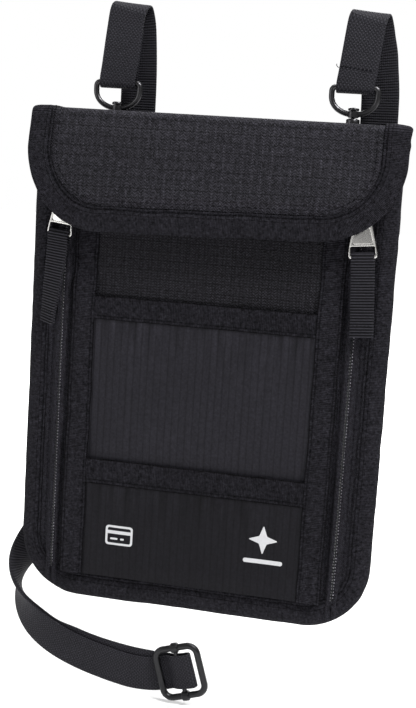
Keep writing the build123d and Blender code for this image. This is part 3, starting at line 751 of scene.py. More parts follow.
RIPSTOP = ripstop("ripstop_cloth", (0.0245, 0.0238, 0.0275))
# darker copy of the flap's ripstop: painted shade of the flap over the front panel; the back panel
# uses it too
RIPSTOP_SHADED = ripstop("ripstop_shaded", (0.0148, 0.0144, 0.0164), grid_gain=0.8, lattice_gain=1.5)
SATIN = satin("smooth_nylon", (0.0200, 0.0194, 0.0230), gather=123.0)
SATIN_LOW = satin("smooth_nylon_low", (0.0100, 0.0097, 0.0116), gather=52.0)
TAPE = tape("bind_tape", (0.0215, 0.0209, 0.0243), pitch=0.66, depth=0.2, mottle=1.5,
            edges=((0.3, 0.55),), rows=((1.9, 0.42), (3.6, 0.2)))
SIDE_TAPE = tape("side_tape_cloth", (0.0217, 0.0211, 0.0245), pitch=0.7, depth=0.24, mottle=2.0,
                 edges=((0.0, 0.6), (10.0, 0.7)), rows=((1.35, 0.38), (8.7, 0.38)))
HEM = tape("hem_cloth", (0.0185, 0.0180, 0.0210), pitch=0.7, depth=0.22, mottle=1.8,
           edges=((0.0, 0.6), (10.1, 0.6)), rows=((1.5, 0.38),))
WEB_FINE = fine_webbing("webbing_fine", (0.0260, 0.0255, 0.0294))
WEB_RIBBED = ribbed_webbing("webbing_ribbed", (0.0205, 0.0201, 0.0236))
RIBBON = grosgrain("ribbon_ribbed", (0.0174, 0.0171, 0.0195))
ZIP_TAPE = zip_knit("zip_tape_knit", (0.0287, 0.0280, 0.0322))
LINING = plain_cloth("lining_weave", (0.050, 0.050, 0.056), pitch=0.5)
HOOK_PILE = pile("hook_pile", (0.020, 0.020, 0.022), scale=1.5)
LOOP_PILE = pile("loop_pile", (0.022, 0.022, 0.024), scale=1.1)
FOIL = speckled("blocking_film_foil", (0.55, 0.56, 0.58), scale=220.0, detail=3.0, gain=0.3,
                plus=0.8, depth=0.2, strength=0.6, Metallic=0.9, Roughness=0.4)
COIL = speckled("coil_plastic", (0.018, 0.018, 0.021), scale=700.0, detail=2.0, gain=0.4,
                plus=0.8, depth=0.02, strength=0.4, Roughness=0.33, Specular_IOR_Level=0.55)
NICKEL = full_metal("nickel_satin", (0.80, 0.785, 0.76), rough=0.20, scratch=0.25)
GUNMETAL = full_metal("gunmetal", (0.075, 0.074, 0.078), rough=0.26)
ENAMEL = full_metal("black_enamel", (0.042, 0.042, 0.044), rough=0.30)
BLACK_PLATE = full_metal("black_plate", (0.045, 0.045, 0.05), rough=0.3, metallic=0.85)
THREAD = plain_cloth("sewing_thread", (0.010, 0.010, 0.012), pitch=0.3)
CHAIN_THREAD = plain_cloth("chain_thread", (0.42, 0.415, 0.43), pitch=0.3)
INK = speckled("white_ink", (0.66, 0.66, 0.68), scale=1500.0, detail=2.0, gain=0.18,
               plus=0.86, depth=0.03, strength=0.5, Roughness=0.6)


# ---------------------------------------------------------------- layer surfaces
def z_low(x, inset):
    """Lower outline of the pouch at x, inset from the edge."""
    radius = CORNER_R - inset
    past = np.clip(np.abs(x) - (HALF_W - CORNER_R), 0, radius - 1e-6)
    return CORNER_R - np.sqrt(np.maximum(radius * radius - past * past, 0))


# Each of these gives the y of a layer's front at (x, z); vis fades wrinkles under other layers.
def y_base(x, z):
    wrinkle = 0.26 * noise(x / 22, z / 15, 3) + 0.16 * noise(x / 7, z / 9, 4)
    vis = window(z, 131, 205, 10) * (1 - ease(40, 46, np.abs(x)))
    return -7.2 - (0.18 + wrinkle) * vis


def y_upper(x, z):
    off = np.abs(x)
    vis = window(z, 60, 123, 14)
    puff = 0.30 * (1 - ease(30, 46, off)) * vis
    puff = puff + vis * (1 - ease(43, 46, off)) * (
        0.13 * noise(x / 3.4, z / 60, 7) + 0.30 * noise(x / 19, z / 26, 8)
        + 0.06 * noise(x / 1.7, z / 30, 9))
    return -8.42 - np.maximum(puff, -0.1)


def y_lower(x, z):
    off = np.abs(x)
    vis = window(z, 12, 53, 6) * (1 - ease(41.5, 46, off))
    gather = ease(24, 50, z) * (1 - ease(51.2, 53, z))
    puff = 0.22 * vis * (1 - (x / 60) ** 2)
    puff = puff + gather * vis * (
        0.40 * noise(x / 3.1, z / 26, 21) + 0.16 * noise(x / 1.5, z / 14, 22))
    corner = ease(22, 44, off) * (1 - ease(14, 34, z))
    puff = puff + vis * (
        0.26 * noise(x / 15, z / 13, 23)
        + corner * 0.34 * noise((x + z * np.sign(x)) / 4.5, z / 30, 24))
    return -9.62 - np.maximum(puff, -0.08)


def y_hem(x, z, low, high, level, seed):
    share = (z - low) / (high - low)
    roll = 0.10 * np.sin(np.clip(share, 0, 1) * PI)
    wrinkle = 0.30 * noise(x / 5.5, z / 4.0, seed) + 0.18 * noise(x / 2.4, z / 3.0, seed + 1)
    dent = 0.10 * bell(z - low, 1.5, 0.7)
    return level - (roll + wrinkle * window(share, 0, 1, 0.08) + 0.06) + dent


def y_strip(x, z):
    off, sign = np.abs(x), np.sign(x)
    # the side tapes step out over the pocket layers
    level = np.interp(z, [0, 66, 74, 133, 141, 210], [-10.02, -10.02, -9.02, -9.02, -7.62, -7.62])
    crown = np.sin(np.clip((off - STRIP_X) / STRIP_W, 0, 1) * PI)
    pucker = 0.42 * noise(z / 3.4, off / 9 + sign * 7, 31) * crown
    pucker = pucker + 0.18 * noise(z / 1.6, off / 4 + sign * 5, 32)
    dent = 0.13 * (bell(off, 47.3, 0.6) + bell(off, 54.7, 0.6))
    return level - 0.26 * crown - pucker + dent


pouch_stitches = Stitches()

# ---------------------------------------------------------------- back panel, linings, films
x, z = grid(-71.2, 71.2, lambda x: z_low(x, 3.8), BIND_TOP, 2.0)
swell = 0.10 * noise(x / 26, z / 22, 41) + 0.05 * noise(x / 8, z / 10, 42)
y = np.minimum(0.02 + swell * window(np.abs(x), -70, 66, 8), 0.09)
place(sheet("back_panel_cloth", xyz(x, y, z), 0.48, RIPSTOP_SHADED, front=(0, 1, 0)),
      "pouch", "ripstop_nylon", "back_panel")

# node, y, thickness, material, slot, top, inset from the outline
INNER_LAYERS = (
    ("rfid_liner_back", -0.58, 0.07, FOIL, "blocking_film", 202.0, 2.8),
    ("back_lining", -0.98, 0.26, LINING, "lining_cloth", 203.6, 2.6),
    ("divider_panel", -5.40, 0.26, LINING, "lining_cloth", 202.0, 2.4),
    ("rfid_liner_front", -5.55, 0.08, FOIL, "blocking_film", 202.0, 2.6),
)
for node, level, thick, mat, slot, top, inset in INNER_LAYERS:
    x, z = grid(-HALF_W + inset, HALF_W - inset, lambda x: z_low(x, inset), top - 0.1, 3.0)
    y = level + 0.009 * np.abs(noise(x / 17, z / 19, 51))
    place(sheet(node + "_sheet", xyz(x, y, z), thick, mat), "pouch", slot, node)

# mouth binding: tape folded over the top edge of the front layers, outline as (y, z)
MOUTH_OUTLINE = [
    (-7.72, 194.3), (-7.74, 201.9), (-7.6, 202.5), (-7.0, 202.72), (-6.2, 202.78),
    (-5.3, 202.7), (-4.75, 202.4), (-4.62, 201.9), (-4.64, 194.3), (-5.0, 194.3),
    (-5.06, 201.6), (-5.1, 202.0), (-7.2, 202.0), (-7.24, 194.3),
]
xs = np.linspace(-65.4, 65.4, 90)
place(sweep("mouth_binding_tape", xyz(xs, 0, 0), Y_AXIS, Z_AXIS, MOUTH_OUTLINE, [TAPE]),
      "pouch", "binding_tape", "mouth_binding")
pouch_stitches.row(xyz(xs, -7.76, 195.6), FRONT, pitch=2.8, radius=0.18)

# ---------------------------------------------------------------- front panel and pockets
# object, node, half width, bottom, top, grid step, surface, thickness, material, slot
FRONT_LAYERS = (
    ("front_panel_cloth", "front_panel", 55.3, lambda x: z_low(x, 4.6), 201.8, 1.5,
     y_base, 0.36, RIPSTOP_SHADED, "ripstop_nylon"),
    ("upper_pocket_cloth", "upper_pocket_panel", 49.8, 11.6, 130.3, 1.0,
     y_upper, 0.28, SATIN, "satin_nylon"),
    ("lower_pocket_cloth", "lower_pocket_panel", 49.8, 11.6, 61.7, 0.8,
     y_lower, 0.28, SATIN_LOW, "satin_nylon"),
)
for name, node, half, low, top, step, surface, thick, mat, slot in FRONT_LAYERS:
    x, z = grid(-half, half, low, top, step)
    place(sheet(name, xyz(x, surface(x, z), z), thick, mat), "pouch", slot, node)

for node, (low, high), level, seed in (("upper_pocket_hem", UPPER_HEM, -8.80, 71),
                                       ("lower_pocket_hem", LOWER_HEM, -9.95, 75)):
    x, z = grid(-46.4, 46.4, low, high, 0.7)
    wander = 0.18 * noise(x / 11, 0, seed + 3) * ((z - low) / (high - low) - 0.5)
    points = xyz(x, y_hem(x, z, low, high, level, seed), z + wander)
    uv = np.stack([x, (z - low) * 10.0 / (high - low)], -1)
    place(sheet(node + "_tape", points, 0.55, HEM, uv), "pouch", "binding_tape", node)
    xs = np.linspace(-45.2, 45.2, 120)
    row_z = np.full_like(xs, low + 1.5)
    pouch_stitches.row(xyz(xs, y_hem(xs, row_z, low, high, level, seed), row_z), FRONT,
                       pitch=2.5, length=1.8, radius=0.17)

for side, sign in SIDES:
    x, z = grid(sign * (STRIP_X + 0.02), sign * (STRIP_X + STRIP_W - 0.02), 11.5, 193.5, 0.62)
    from_middle = np.abs(x) - 51
    wander = 0.16 * noise(z / 9, sign, 36) * np.sign(from_middle)
    points = xyz(x + wander * ease(0, 1, np.abs(from_middle) / 5), y_strip(x, z), z)
    uv = np.stack([z, np.abs(x) - STRIP_X], -1)
    place(sheet("side_tape_%s_cloth" % side, points, 0.34, SIDE_TAPE, uv),
          "pouch", "binding_tape", "side_tape_" + side)
    zs = np.linspace(12, 193, 400)
    for off in (47.3, 54.7):
        xs = np.full_like(zs, sign * off)
        pouch_stitches.row(xyz(xs, y_strip(xs, zs) - 0.02, zs), FRONT,
                           pitch=2.5, length=1.8, radius=0.18)

# ---------------------------------------------------------------- zip tapes and chains
chain_stitches = Stitches()


def zip_half(zip_x, sign, half):
    """One tape, from its rolled edge at the chain outwards; half is the side of the chain."""
    inner = half * sign < 0
    reach = np.concatenate([
        np.linspace(0.16, 3.6, 18), np.linspace(3.9, 5.3 if inner else 9.4, 6 if inner else 10)])
    xs = zip_x + half * reach
    low = np.maximum(z_low(xs, 0.7) + 1.6, 2.6)[:, None]
    x, share = np.meshgrid(xs, np.linspace(0, 1, 210), indexing="ij")
    z = low + (201.6 - low) * share
    off = np.abs(x - zip_x)
    raised = 1 - ease(1.7, 3.2, off)
    roll = 0.75 * bell(off, 0.16, 0.42)
    phase = 0 if half > 0 else PI
    teeth = 0.07 * np.sin(2 * PI * z / 1.28 + phase) * bell(off, 1.0, 0.7)
    groove = 0.14 * bell(off, 2.45, 0.28)
    y = -7.22 - 1.28 * raised + roll * raised + groove - teeth
    wrinkle = 0.20 * noise(z / 6, x / 5 + sign, 81) + 0.12 * noise(z / 2.6, x / 3 + sign, 83)
    y = y - np.abs(wrinkle) * ease(3.3, 4.8, off) * 1.2
    return sheet("zip_half", xyz(x, y, z), 0.34, ZIP_TAPE)


def zip_chain(name, zip_x):
    """Rounded coil heads, meshed alternately from each side."""
    ring_size, ring_count = 8, 5
    shape, shape_faces = [], []
    for i in range(ring_count):
        t = -1 + 2 * i / (ring_count - 1)
        radius = (1 - t ** 4) ** 0.5 * 0.96 + 0.04
        for k in range(ring_size):
            turn = 2 * PI * k / ring_size
            shape.append((t, radius * math.cos(turn), radius * math.sin(turn)))
    for i in range(ring_count - 1):
        here, there = i * ring_size, (i + 1) * ring_size
        for k in range(ring_size):
            after = (k + 1) % ring_size
            shape_faces.append((here + k, here + after, there + after, there + k))
    shape_faces.append(tuple(range(ring_size - 1, -1, -1)))
    shape_faces.append(tuple((ring_count - 1) * ring_size + k for k in range(ring_size)))
    shape = np.array(shape)
    verts, faces = [], []
    z, half = 12.8, 1
    while z < 181.0:
        first = len(verts) * len(shape)
        head = shape * np.array([1.30, 0.60, 0.36])
        head[:, 2] += 0.10 * head[:, 0] * half
        verts.append(head + np.array([zip_x + half * 0.72, -7.55, z]))
        faces += [tuple(i + first for i in face) for face in shape_faces]
        z += 0.64
        half = -half
    verts = np.concatenate(verts)
    return build(name, verts, faces, xz_uv(verts, faces), [COIL], angle=50)


for side, sign in SIDES:
    zip_x = sign * ZIP_X
    halves = []
    for half in (-1, 1):
        halves.append(zip_half(zip_x, sign, half))
        pouch_stitches.row(xyz(zip_x + half * 3.75, -7.32, np.linspace(14, 199, 500)), FRONT,
                           pitch=1.9, length=1.35, radius=0.17)
    chain_stitches.row(xyz(zip_x + 0.62, -8.42, np.linspace(14, 199, 500)), FRONT,
                       pitch=1.3, length=0.5, radius=0.19, sink=0.0)
    place(join("zipper_tape_%s_cloth" % side, halves),
          "pouch", "zipper_tape", "zipper_tape_" + side)
    place(zip_chain("zipper_chain_" + side, zip_x), "pouch", "zipper_coil", "zipper_coil_" + side)
place(chain_stitches.build("zipper_chain_stitches", CHAIN_THREAD), "pouch", "zipper_tape")

# ---------------------------------------------------------------- edge binding
# outside then inside of the folded tape: (distance from the edge, y)
EDGE_OUTLINE = np.array([
    (9.0, -7.30), (8.95, -7.95), (8.55, -8.12), (7.75, -7.66), (7.1, -7.92), (6.2, -8.10),
    (5.0, -7.98), (3.8, -7.62), (2.6, -7.12), (1.5, -6.45), (0.7, -5.65), (0.2, -4.7),
    (0.02, -3.7), (0.1, -2.7), (0.45, -1.7), (1.1, -0.85), (2.0, -0.25), (3.2, 0.15),
    (4.6, 0.36), (6.0, 0.46), (7.2, 0.44), (8.2, 0.52), (8.7, 0.58), (9.0, 0.40),
    (8.9, 0.10), (6.0, 0.06), (3.0, -0.25), (1.4, -1.3), (0.75, -2.6), (0.7, -3.8),
    (0.95, -5.0), (1.8, -6.2), (3.4, -7.05), (5.2, -7.32), (7.4, -7.34), (8.9, -7.34),
])
EDGE_OUTER = 24  # how many of those points are on the outside
SIDE_WIDTH, BASE_WIDTH = 9.0, 11.0

path, inward = u_path(HALF_W, BIND_TOP, CORNER_R)
along = arc_length(path)
width = np.sqrt((SIDE_WIDTH * inward[:, 0]) ** 2 + (BASE_WIDTH * inward[:, 1]) ** 2)
bend = np.abs(inward[:, 0]) * np.abs(inward[:, 1]) * 2  # 1 in the middle of a corner
wander = 0.22 * noise(along / 14, 0, 95) + 0.10 * noise(along / 4, 0, 96)
outlines = np.repeat(EDGE_OUTLINE[None], len(path), 0)
for k, (inset, level) in enumerate(EDGE_OUTLINE):
    in_front = level < -3.7
    depth = (0.26 + 0.25 * bend) * ease(1.0, 4, inset) * (0.6 + 0.4 * (inset < 8.5))
    pucker = depth * (
        0.7 * noise(along / (5.0 - 1.8 * bend), inset / 6.0, 91 if in_front else 93)
        + 0.5 * noise(along / 2.3, inset / 3.0, 92))
    if k < EDGE_OUTER:
        outlines[:, k, 1] += np.clip(-pucker if in_front else pucker, -0.4, 0.4)
    outlines[:, k, 1] = np.clip(outlines[:, k, 1], -8.55, 0.80)
    outlines[:, k, 0] = inset * width / SIDE_WIDTH + wander * (1 if inset < 8 else 1.2)
centres = xyz(path[:, 0], 0, path[:, 1])
wide = xyz(inward[:, 0], 0, inward[:, 1])
place(sweep("edge_binding_tape", centres, wide, Y_AXIS, outlines, [TAPE]),
      "pouch", "binding_tape", "edge_binding")
for inset, level, facing in ((7.8, -7.72, FRONT), (7.5, 0.52, (0, 1, 0))):
    points = centres + wide * (inset * width / SIDE_WIDTH)[:, None]
    points[:, 1] = level
    pouch_stitches.row(points, facing, pitch=2.55, length=1.85, radius=0.26, sink=0.0)

# ---------------------------------------------------------------- flap: curves over the top
FLAP_LEAN = math.radians(5.5)
FLAP_TOP = 205.25
FLAP_MID = np.array((-5.4, FLAP_TOP))  # (y, z) at the middle of the top
FLAP_HALF, FLAP_CORNER = 76.75, 33.0


def fold_curve(bend_y, top_count, radius, turn, side, end, end_count):
    """(y, z) from the middle of the top, round a bend starting at bend_y, straight to end."""
    start = np.array([bend_y, FLAP_TOP])
    points = [FLAP_MID]
    points += [FLAP_MID + (start - FLAP_MID) * k / top_count for k in range(1, top_count + 1)]
    centre = start + np.array([0, -radius])
    for k in range(1, 9):
        angle = turn * k / 8
        points.append(centre + radius * np.array([side * math.sin(angle), math.cos(angle)]))
    last = points[-1]
    points += [last + (end - last) * (k / end_count) for k in range(1, end_count + 1)]
    return np.array(points)


class FoldCurve:
    """Maps (x, distance down the curve, height off it) to space."""

    def __init__(self, points, outward):
        self.points, self.outward = points, outward
        self.places, self.run = arc_length(points), tangents(points)
        self.end = self.places[-1]

    def at(self, x, down, height):
        down = np.asarray(down, float)
        over = down - np.clip(down, 0, self.end)
        y, z = (np.interp(down, self.places, column) for column in self.points.T)
        run_y, run_z = (np.interp(down, self.places, column) for column in self.run.T)
        y, z = y + over * run_y, z + over * run_z
        # the outward normal is the tangent turned a quarter turn
        out_y, out_z = self.outward * run_z, -self.outward * run_y
        size = np.sqrt(out_y * out_y + out_z * out_z)
        return np.stack([x + 0 * y, y + height * out_y / size, z + height * out_z / size], -1)


bend_angle = PI / 2 - FLAP_LEAN
hang = np.array([-math.sin(FLAP_LEAN), -math.cos(FLAP_LEAN)])
front_curve = FoldCurve(fold_curve(
    -10.857 + 1.9 * math.tan(bend_angle / 2), 6, 1.9, bend_angle, -1,
    np.array([-10.9, 204.8]) + hang * 46.6, 75), 1.0)
back_curve = FoldCurve(fold_curve(0.05 - 2.2, 5, 2.2, PI / 2, 1, np.array([0.05, 196.8]), 12),
                       -1.0)
FLAP_END = front_curve.end


def left_shift(x):
    """Pulls the left edge in a little."""
    return 0.9 * (x < 0) * ease(40, 76, np.abs(x))


def front_map(x, down, height):
    # the lower edge hangs lower on the left than on the right
    down = down + ease(8, FLAP_END, down) * (-1.5 * np.clip(x / 50, -1.1, 1.1))
    return front_curve.at(x + (1 - ease(4, 26, down)) * left_shift(x), down, height)


def back_map(x, down, height):
    return back_curve.at(x + left_shift(x), down, height)


def flap_height(x, down):
    off = np.abs(x)
    inside = (1 - ease(52, 66.5, off)) * (1 - ease(FLAP_END - 26, FLAP_END - 10, down))
    height = 0.45 * (inside * ease(5.5, 14, down))
    height = height + (0.42 * noise(x / 24, down / 16, 101) * window(down, 6, FLAP_END - 9, 6)
                       * (1 - ease(60, 67, off)))
    height = height + 0.10 * noise(x / 2.6, down / 30, 102) * window(down, 4, 26, 4)
    height = height + 0.09 * noise(x / 6, down / 5, 103) * window(down, 6, FLAP_END - 9, 6)
    # the cover dips where it runs under the binding
    past_x = np.maximum(off - (FLAP_HALF - FLAP_CORNER), 0)
    past_down = np.maximum(down - (FLAP_END - FLAP_CORNER), 0)
    inset = np.where((past_x > 0) & (past_down > 0),
                     FLAP_CORNER - np.sqrt(past_x ** 2 + past_down ** 2),
                     np.minimum(FLAP_HALF - off, FLAP_END - down))
    return 0.86 + (height - 0.42 * (1 - ease(9.8, 11.6, inset)))


# ---------------------------------------------------------------- flap cover and lining
downs = np.concatenate([np.linspace(0, 9, 26)[:-1], np.linspace(9, FLAP_END - 1.5, 71)])
x, down = np.meshgrid(np.linspace(-74.6, 74.6, 120), downs, indexing="ij")
# lower corners follow the rounded outline
past = np.abs(x) - (FLAP_HALF - FLAP_CORNER)
limit = np.where(
    past > 0,
    FLAP_END - FLAP_CORNER + np.sqrt(np.maximum((FLAP_CORNER - 2.0) ** 2 - past ** 2, 0)),
    FLAP_END - 2.0)
share = np.where(downs[None, :] > 12, (downs[None, :] - 12) / (downs[-1] - 12), 0)
down = np.where(down > 12, 12 + share * (limit - 12), down)
uv = np.stack([x, 300 - down], -1)
flap_facing = (0, -0.9, 0.3)
cover = sheet("flap_cover", front_map(x, down, flap_height(x, down)), 0.42, RIPSTOP, uv,
              flap_facing)
lining = sheet("flap_lining_cloth", front_map(x, down, 0.36), 0.30, LINING, uv, flap_facing)

# ---------------------------------------------------------------- flap binding
# outside then inside of the folded tape: (distance from the edge, height off the curve)
FLAP_OUTLINE = np.array([
    (10.0, 0.70), (9.95, 1.30), (9.55, 1.52), (8.85, 1.16), (8.2, 1.38), (7.3, 1.64),
    (6.0, 1.58), (4.4, 1.48), (2.8, 1.34), (1.5, 1.16), (0.6, 0.90), (0.12, 0.60),
    (0.0, 0.35), (0.1, 0.10), (0.5, -0.15), (1.3, -0.33), (2.8, -0.44), (4.6, -0.48),
    (6.6, -0.48), (8.6, -0.46), (9.6, -0.42), (10.0, -0.22), (9.8, -0.02), (5.0, 0.0),
    (1.6, 0.10), (0.9, 0.4), (1.6, 0.86), (5.0, 0.95), (9.8, 0.96),
])
FLAP_OUTER = 22  # how many of those points are on the outside


def flap_binding(name, mapper, x, down, in_x, in_down, along, bend, seed):
    rings = np.zeros((len(x), len(FLAP_OUTLINE), 3))
    flare = (0.45 * bell(down, 6.5, 2.2) + 0.35 * bell(down, 11.5, 1.5)) * (x > 0)
    wander = 0.25 * noise(along / 13, 0, seed + 2) + 0.1 * noise(along / 4, 0, seed + 3)
    for k, (inset, height) in enumerate(FLAP_OUTLINE):
        depth = (0.22 + 0.24 * bend) * ease(0.8, 4, inset)
        pucker = depth * (0.8 * noise(along / (5.2 - 2.2 * bend), inset / 6, seed)
                          + 0.5 * noise(along / 2.2, inset / 3, seed + 1))
        reach = inset + wander * (1 if inset < 9 else 0.8)
        if k < FLAP_OUTER:
            height = height + np.clip(pucker, -0.3, 0.3) * (1 if height > 0.3 else 0.4)
        place_x = x + in_x * reach + np.sign(x) * flare * (1 - inset / 10)
        rings[:, k] = mapper(place_x, np.clip(down + in_down * reach, 0, None), height)
    return loft(name, rings, along, FLAP_OUTLINE, [TAPE])


path, inward = u_path(FLAP_HALF, FLAP_END, FLAP_CORNER)
along = arc_length(path)
bend = np.abs(inward[:, 0]) * np.abs(inward[:, 1]) * 2
# the path rises from the lower edge; the flap is measured down from the top
edge_x, edge_down = path[:, 0], FLAP_END - path[:, 1]
in_x, in_down = inward[:, 0], -inward[:, 1]
binding = flap_binding("flap_binding_tape", front_map, edge_x, edge_down, in_x, in_down,
                       along, bend, 111)

flap_stitches = Stitches()
for inset, radius in ((8.85, 0.2), (12.4, 0.18)):
    x = edge_x + in_x * inset
    down = np.clip(edge_down + in_down * inset, 0, None)
    # the outer row lies on the binding, the inner one on the cover
    height = np.full(len(x), 1.20) if inset < 10 else flap_height(x, down) + 0.02
    points = front_map(x, down, height)
    flap_stitches.row(points, front_map(x, down, height + 1) - points,
                      pitch=2.45, length=1.8, radius=radius, sink=0.02)
flap_sewing = flap_stitches.build("flap_stitches", THREAD)

# ---------------------------------------------------------------- flap fold over the top
x, down = np.meshgrid(np.linspace(-74.6, 74.6, 100), np.linspace(0, back_curve.end, 34),
                      indexing="ij")
height = (0.86 - 0.46 * ease(4.5, 9.5, down)
          + 0.05 * noise(x / 12, down / 6, 121) * window(down, 1, 30, 3))
fold_parts = [sheet("fold_cloth", back_map(x, down, height), 0.42 - 0.12 * ease(4.5, 9.5, down),
                    RIPSTOP, np.stack([x, 300 + down], -1), (0, 0.7, 0.7))]


def flattened_map(x, down, height):
    return back_map(x, down, np.where(down > 6, np.clip(height, 0.0, 0.9), height))


downs = np.linspace(0, back_curve.end - 0.4, 30)
for side, sign in SIDES:
    edge = sign * FLAP_HALF - sign * 1.35 * ease(4, 9, downs)
    fold_parts.append(
        flap_binding("fold_binding", flattened_map, edge, downs, -sign, 0, downs, 0, 131))
fold_stitches = Stitches()
xs = np.linspace(-66, 66, 100)
fold_stitches.row(back_map(xs, np.full(100, back_curve.end - 1.6), 0.46), (0, 1, 0),
                  radius=0.18, sink=0.02)
downs = np.linspace(0.5, back_curve.end - 1, 40)
for side, sign in SIDES:
    row_x = sign * 67.6
    fold_stitches.row(back_map(row_x, downs, np.where(downs > 6, 0.9, 1.22)),
                      back_map(row_x, downs, 2.0) - back_map(row_x, downs, 1.0),
                      pitch=2.45, length=1.8, radius=0.18, sink=0.02)
fold_parts.append(fold_stitches.build("fold_stitches", THREAD))
fold = join("flap_fold_cover", fold_parts)

# ---------------------------------------------------------------- hook and loop patches
x, share = np.meshgrid(np.linspace(-25, 25, 60), np.linspace(0, 1, 24), indexing="ij")
down = (FLAP_END - 33.0) + share * 15.6
height = -1.75 - 0.12 * np.abs(noise(x / 0.9, down / 0.9, 141)) * window(x, -24.6, 24.6, 0.8)
hook_patch = sheet("flap_hook_patch_pile", front_curve.at(x, down, height), -1.4, HOOK_PILE,
                   np.stack([x, down], -1))
x, z = np.meshgrid(np.linspace(-30, 30, 70), np.linspace(169.1, 188.9, 28), indexing="ij")
y = -9.2 - (0.22 * np.abs(noise(x / 1.1, z / 1.1, 143)) * window(x, -29.6, 29.6, 1)
            * window(z, 169.4, 188.6, 1))
place(sheet("front_loop_patch_pile", xyz(x, y, z), 1.8, LOOP_PILE),
      "pouch", "hook_and_loop", "front_loop_patch")

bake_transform(fold)
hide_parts("flap_fold_strip")
for obj, nodes, slot in ((cover, ["flap_panel"], "ripstop_nylon"),
                         (lining, ["flap_lining"], "lining_cloth"),
                         (binding, ["flap_binding"], "binding_tape"),
                         (flap_sewing, [], "binding_tape")):
    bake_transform(obj)
    if nodes:
        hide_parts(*nodes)
place(hook_patch, "flap", "hook_and_loop", "flap_hook_patch")


# ---------------------------------------------------------------- marks on the lower pocket
def mark(loops, x, z):
    """Thin printed shape, cut fine and laid on the pocket cloth."""
    obj = plate("mark", loops, (x, -9.7, z), 0.12, 0.02, INK, 1)
    with editing(obj.data) as geom:
        bmesh.ops.triangulate(geom, faces=geom.faces)
        for _ in range(3):
            long = [edge for edge in geom.edges if edge.calc_length() > 0.0012]
            if not long:
                break
            bmesh.ops.subdivide_edges(geom, edges=long, cuts=1)
            bmesh.ops.triangulate(geom, faces=geom.faces)
        for vert in geom.verts:
            off = vert.co.y / MM + 9.7
            cloth_y = float(y_lower(np.array(vert.co.x / MM), np.array(vert.co.z / MM)))
            vert.co.y = (cloth_y + off - 0.03) * MM
    return obj


# left: a card outline with a stripe and two small bars
card_loops = (
    [rect(-5.9, -4.2, 5.9, 4.2, 1.3), rect(-5.0, -3.3, 5.0, 3.3, 0.7)],
    [rect(-5.2, 0.6, 5.2, 2.0, 0.05)],
    [rect(-3.8, -1.9, -0.6, -1.1, 0.3)],
    [rect(0.6, -1.9, 2.2, -1.1, 0.3)],
)
card_mark = join("print_card_mark", [mark(loops, -30.4, 30.2) for loops in card_loops])
# right: a four-pointed star over a plain bar
star = []
for k in range(8):
    radius = 6.3 if k % 2 == 0 else 2.3
    angle = PI / 2 + k * PI / 4
    star.append((radius * math.cos(angle), radius * math.sin(angle)))
star_mark = join("print_star_mark", [
    mark([rounded(star, [0.25, 0.9] * 4)], 30.8, 36.0),
    mark([rect(-8.2, -0.9, 8.2, 0.9, 0.85)], 31.2, 26.8),
])
for obj in (card_mark, star_mark):
    place(obj, "pouch", "satin_nylon")

# ---------------------------------------------------------------- sliders, pullers, ribbons
SLIDER_Z, PULL_Z, PULL_Y = 172.0, 172.85, -10.7
PULL_LEAN = math.radians(5.5)
PULL_DROP = 17.8  # from the puller's eye to its lowest bar
RIB_PITCH = 1.12
LEFT_TWIST = 10  # degrees the left puller and ribbon are turned

SLIDER_OUTLINE = rounded(
    [(-3.1, 4.7), (3.1, 4.7), (3.75, 1.5), (3.3, -4.7), (-3.3, -4.7), (-3.75, 1.5)],
    [1.6, 1.6, 1.2, 1.3, 1.3, 1.2])
# bail path as (y, z)
BAIL = np.array([
    (-9.6, 168.4), (-10.6, 168.7), (-11.5, 169.5), (-12.05, 170.7), (-12.2, 172.2),
    (-12.15, 173.8), (-11.7, 175.0), (-10.9, 175.6), (-9.6, 175.75)])
PULLER_LOOPS = [
    rounded([(-2.7, 0.55), (2.7, 0.55), (3.7, -4.6), (5.6, -16.0),
             (5.6, -18.45), (-5.6, -18.45), (-5.6, -16.0), (-3.7, -4.6)],
            [1.5, 1.5, 3.0, 2.5, 1.1, 1.1, 2.5, 3.0], 8),
    rounded([(-1.7, -0.6), (1.7, -0.6), (1.9, -5.3), (-1.9, -5.3)], [0.7, 0.7, 0.8, 0.8]),
    rounded([(-2.75, -6.5), (2.75, -6.5), (4.05, -12.9), (-4.05, -12.9)], [0.7, 0.7, 0.8, 0.8]),
    rect(-4.8, -17.15, 4.8, -13.7, 0.5),
]
PULLER_WEB = rounded([(-2.95, -6.3), (2.95, -6.3), (4.25, -13.1), (-4.25, -13.1)], 0.6)


def slider(name, x):
    def part(loop, y, thick, bevel, res=1):
        return plate("slider_part", [loop], (x, y, SLIDER_Z), thick, bevel, NICKEL, res)

    bail = relax(resample(BAIL, np.linspace(0, 1, len(BAIL)), np.linspace(0, 1, 36)), 3)
    parts = [
        part(SLIDER_OUTLINE, -9.40, 1.05, 0.38, 3),  # front plate
        part(SLIDER_OUTLINE, -5.90, 0.58, 0.18, 2),  # back plate
        part(rect(-0.28, 1.0, 0.28, 4.2, 0.2), -7.6, 3.4, 0.1),  # post between them
        side_sweep("bail", x, bail, rect(-0.95, -0.42, 0.95, 0.42, 0.3), NICKEL),
    ]
    for half in (-1, 1):
        flange = rect(half * 2.75 - 0.3, -3.9, half * 2.75 + 0.3, 2.7, 0.2)
        parts.append(part(flange, -8.85, 1.0, 0.1))
    return join(name, parts)


def leaning_axes(sign, angle):
    return (Vector((math.cos(angle), 0, sign * math.sin(angle))),
            Vector((-sign * math.sin(angle), 0, math.cos(angle))))


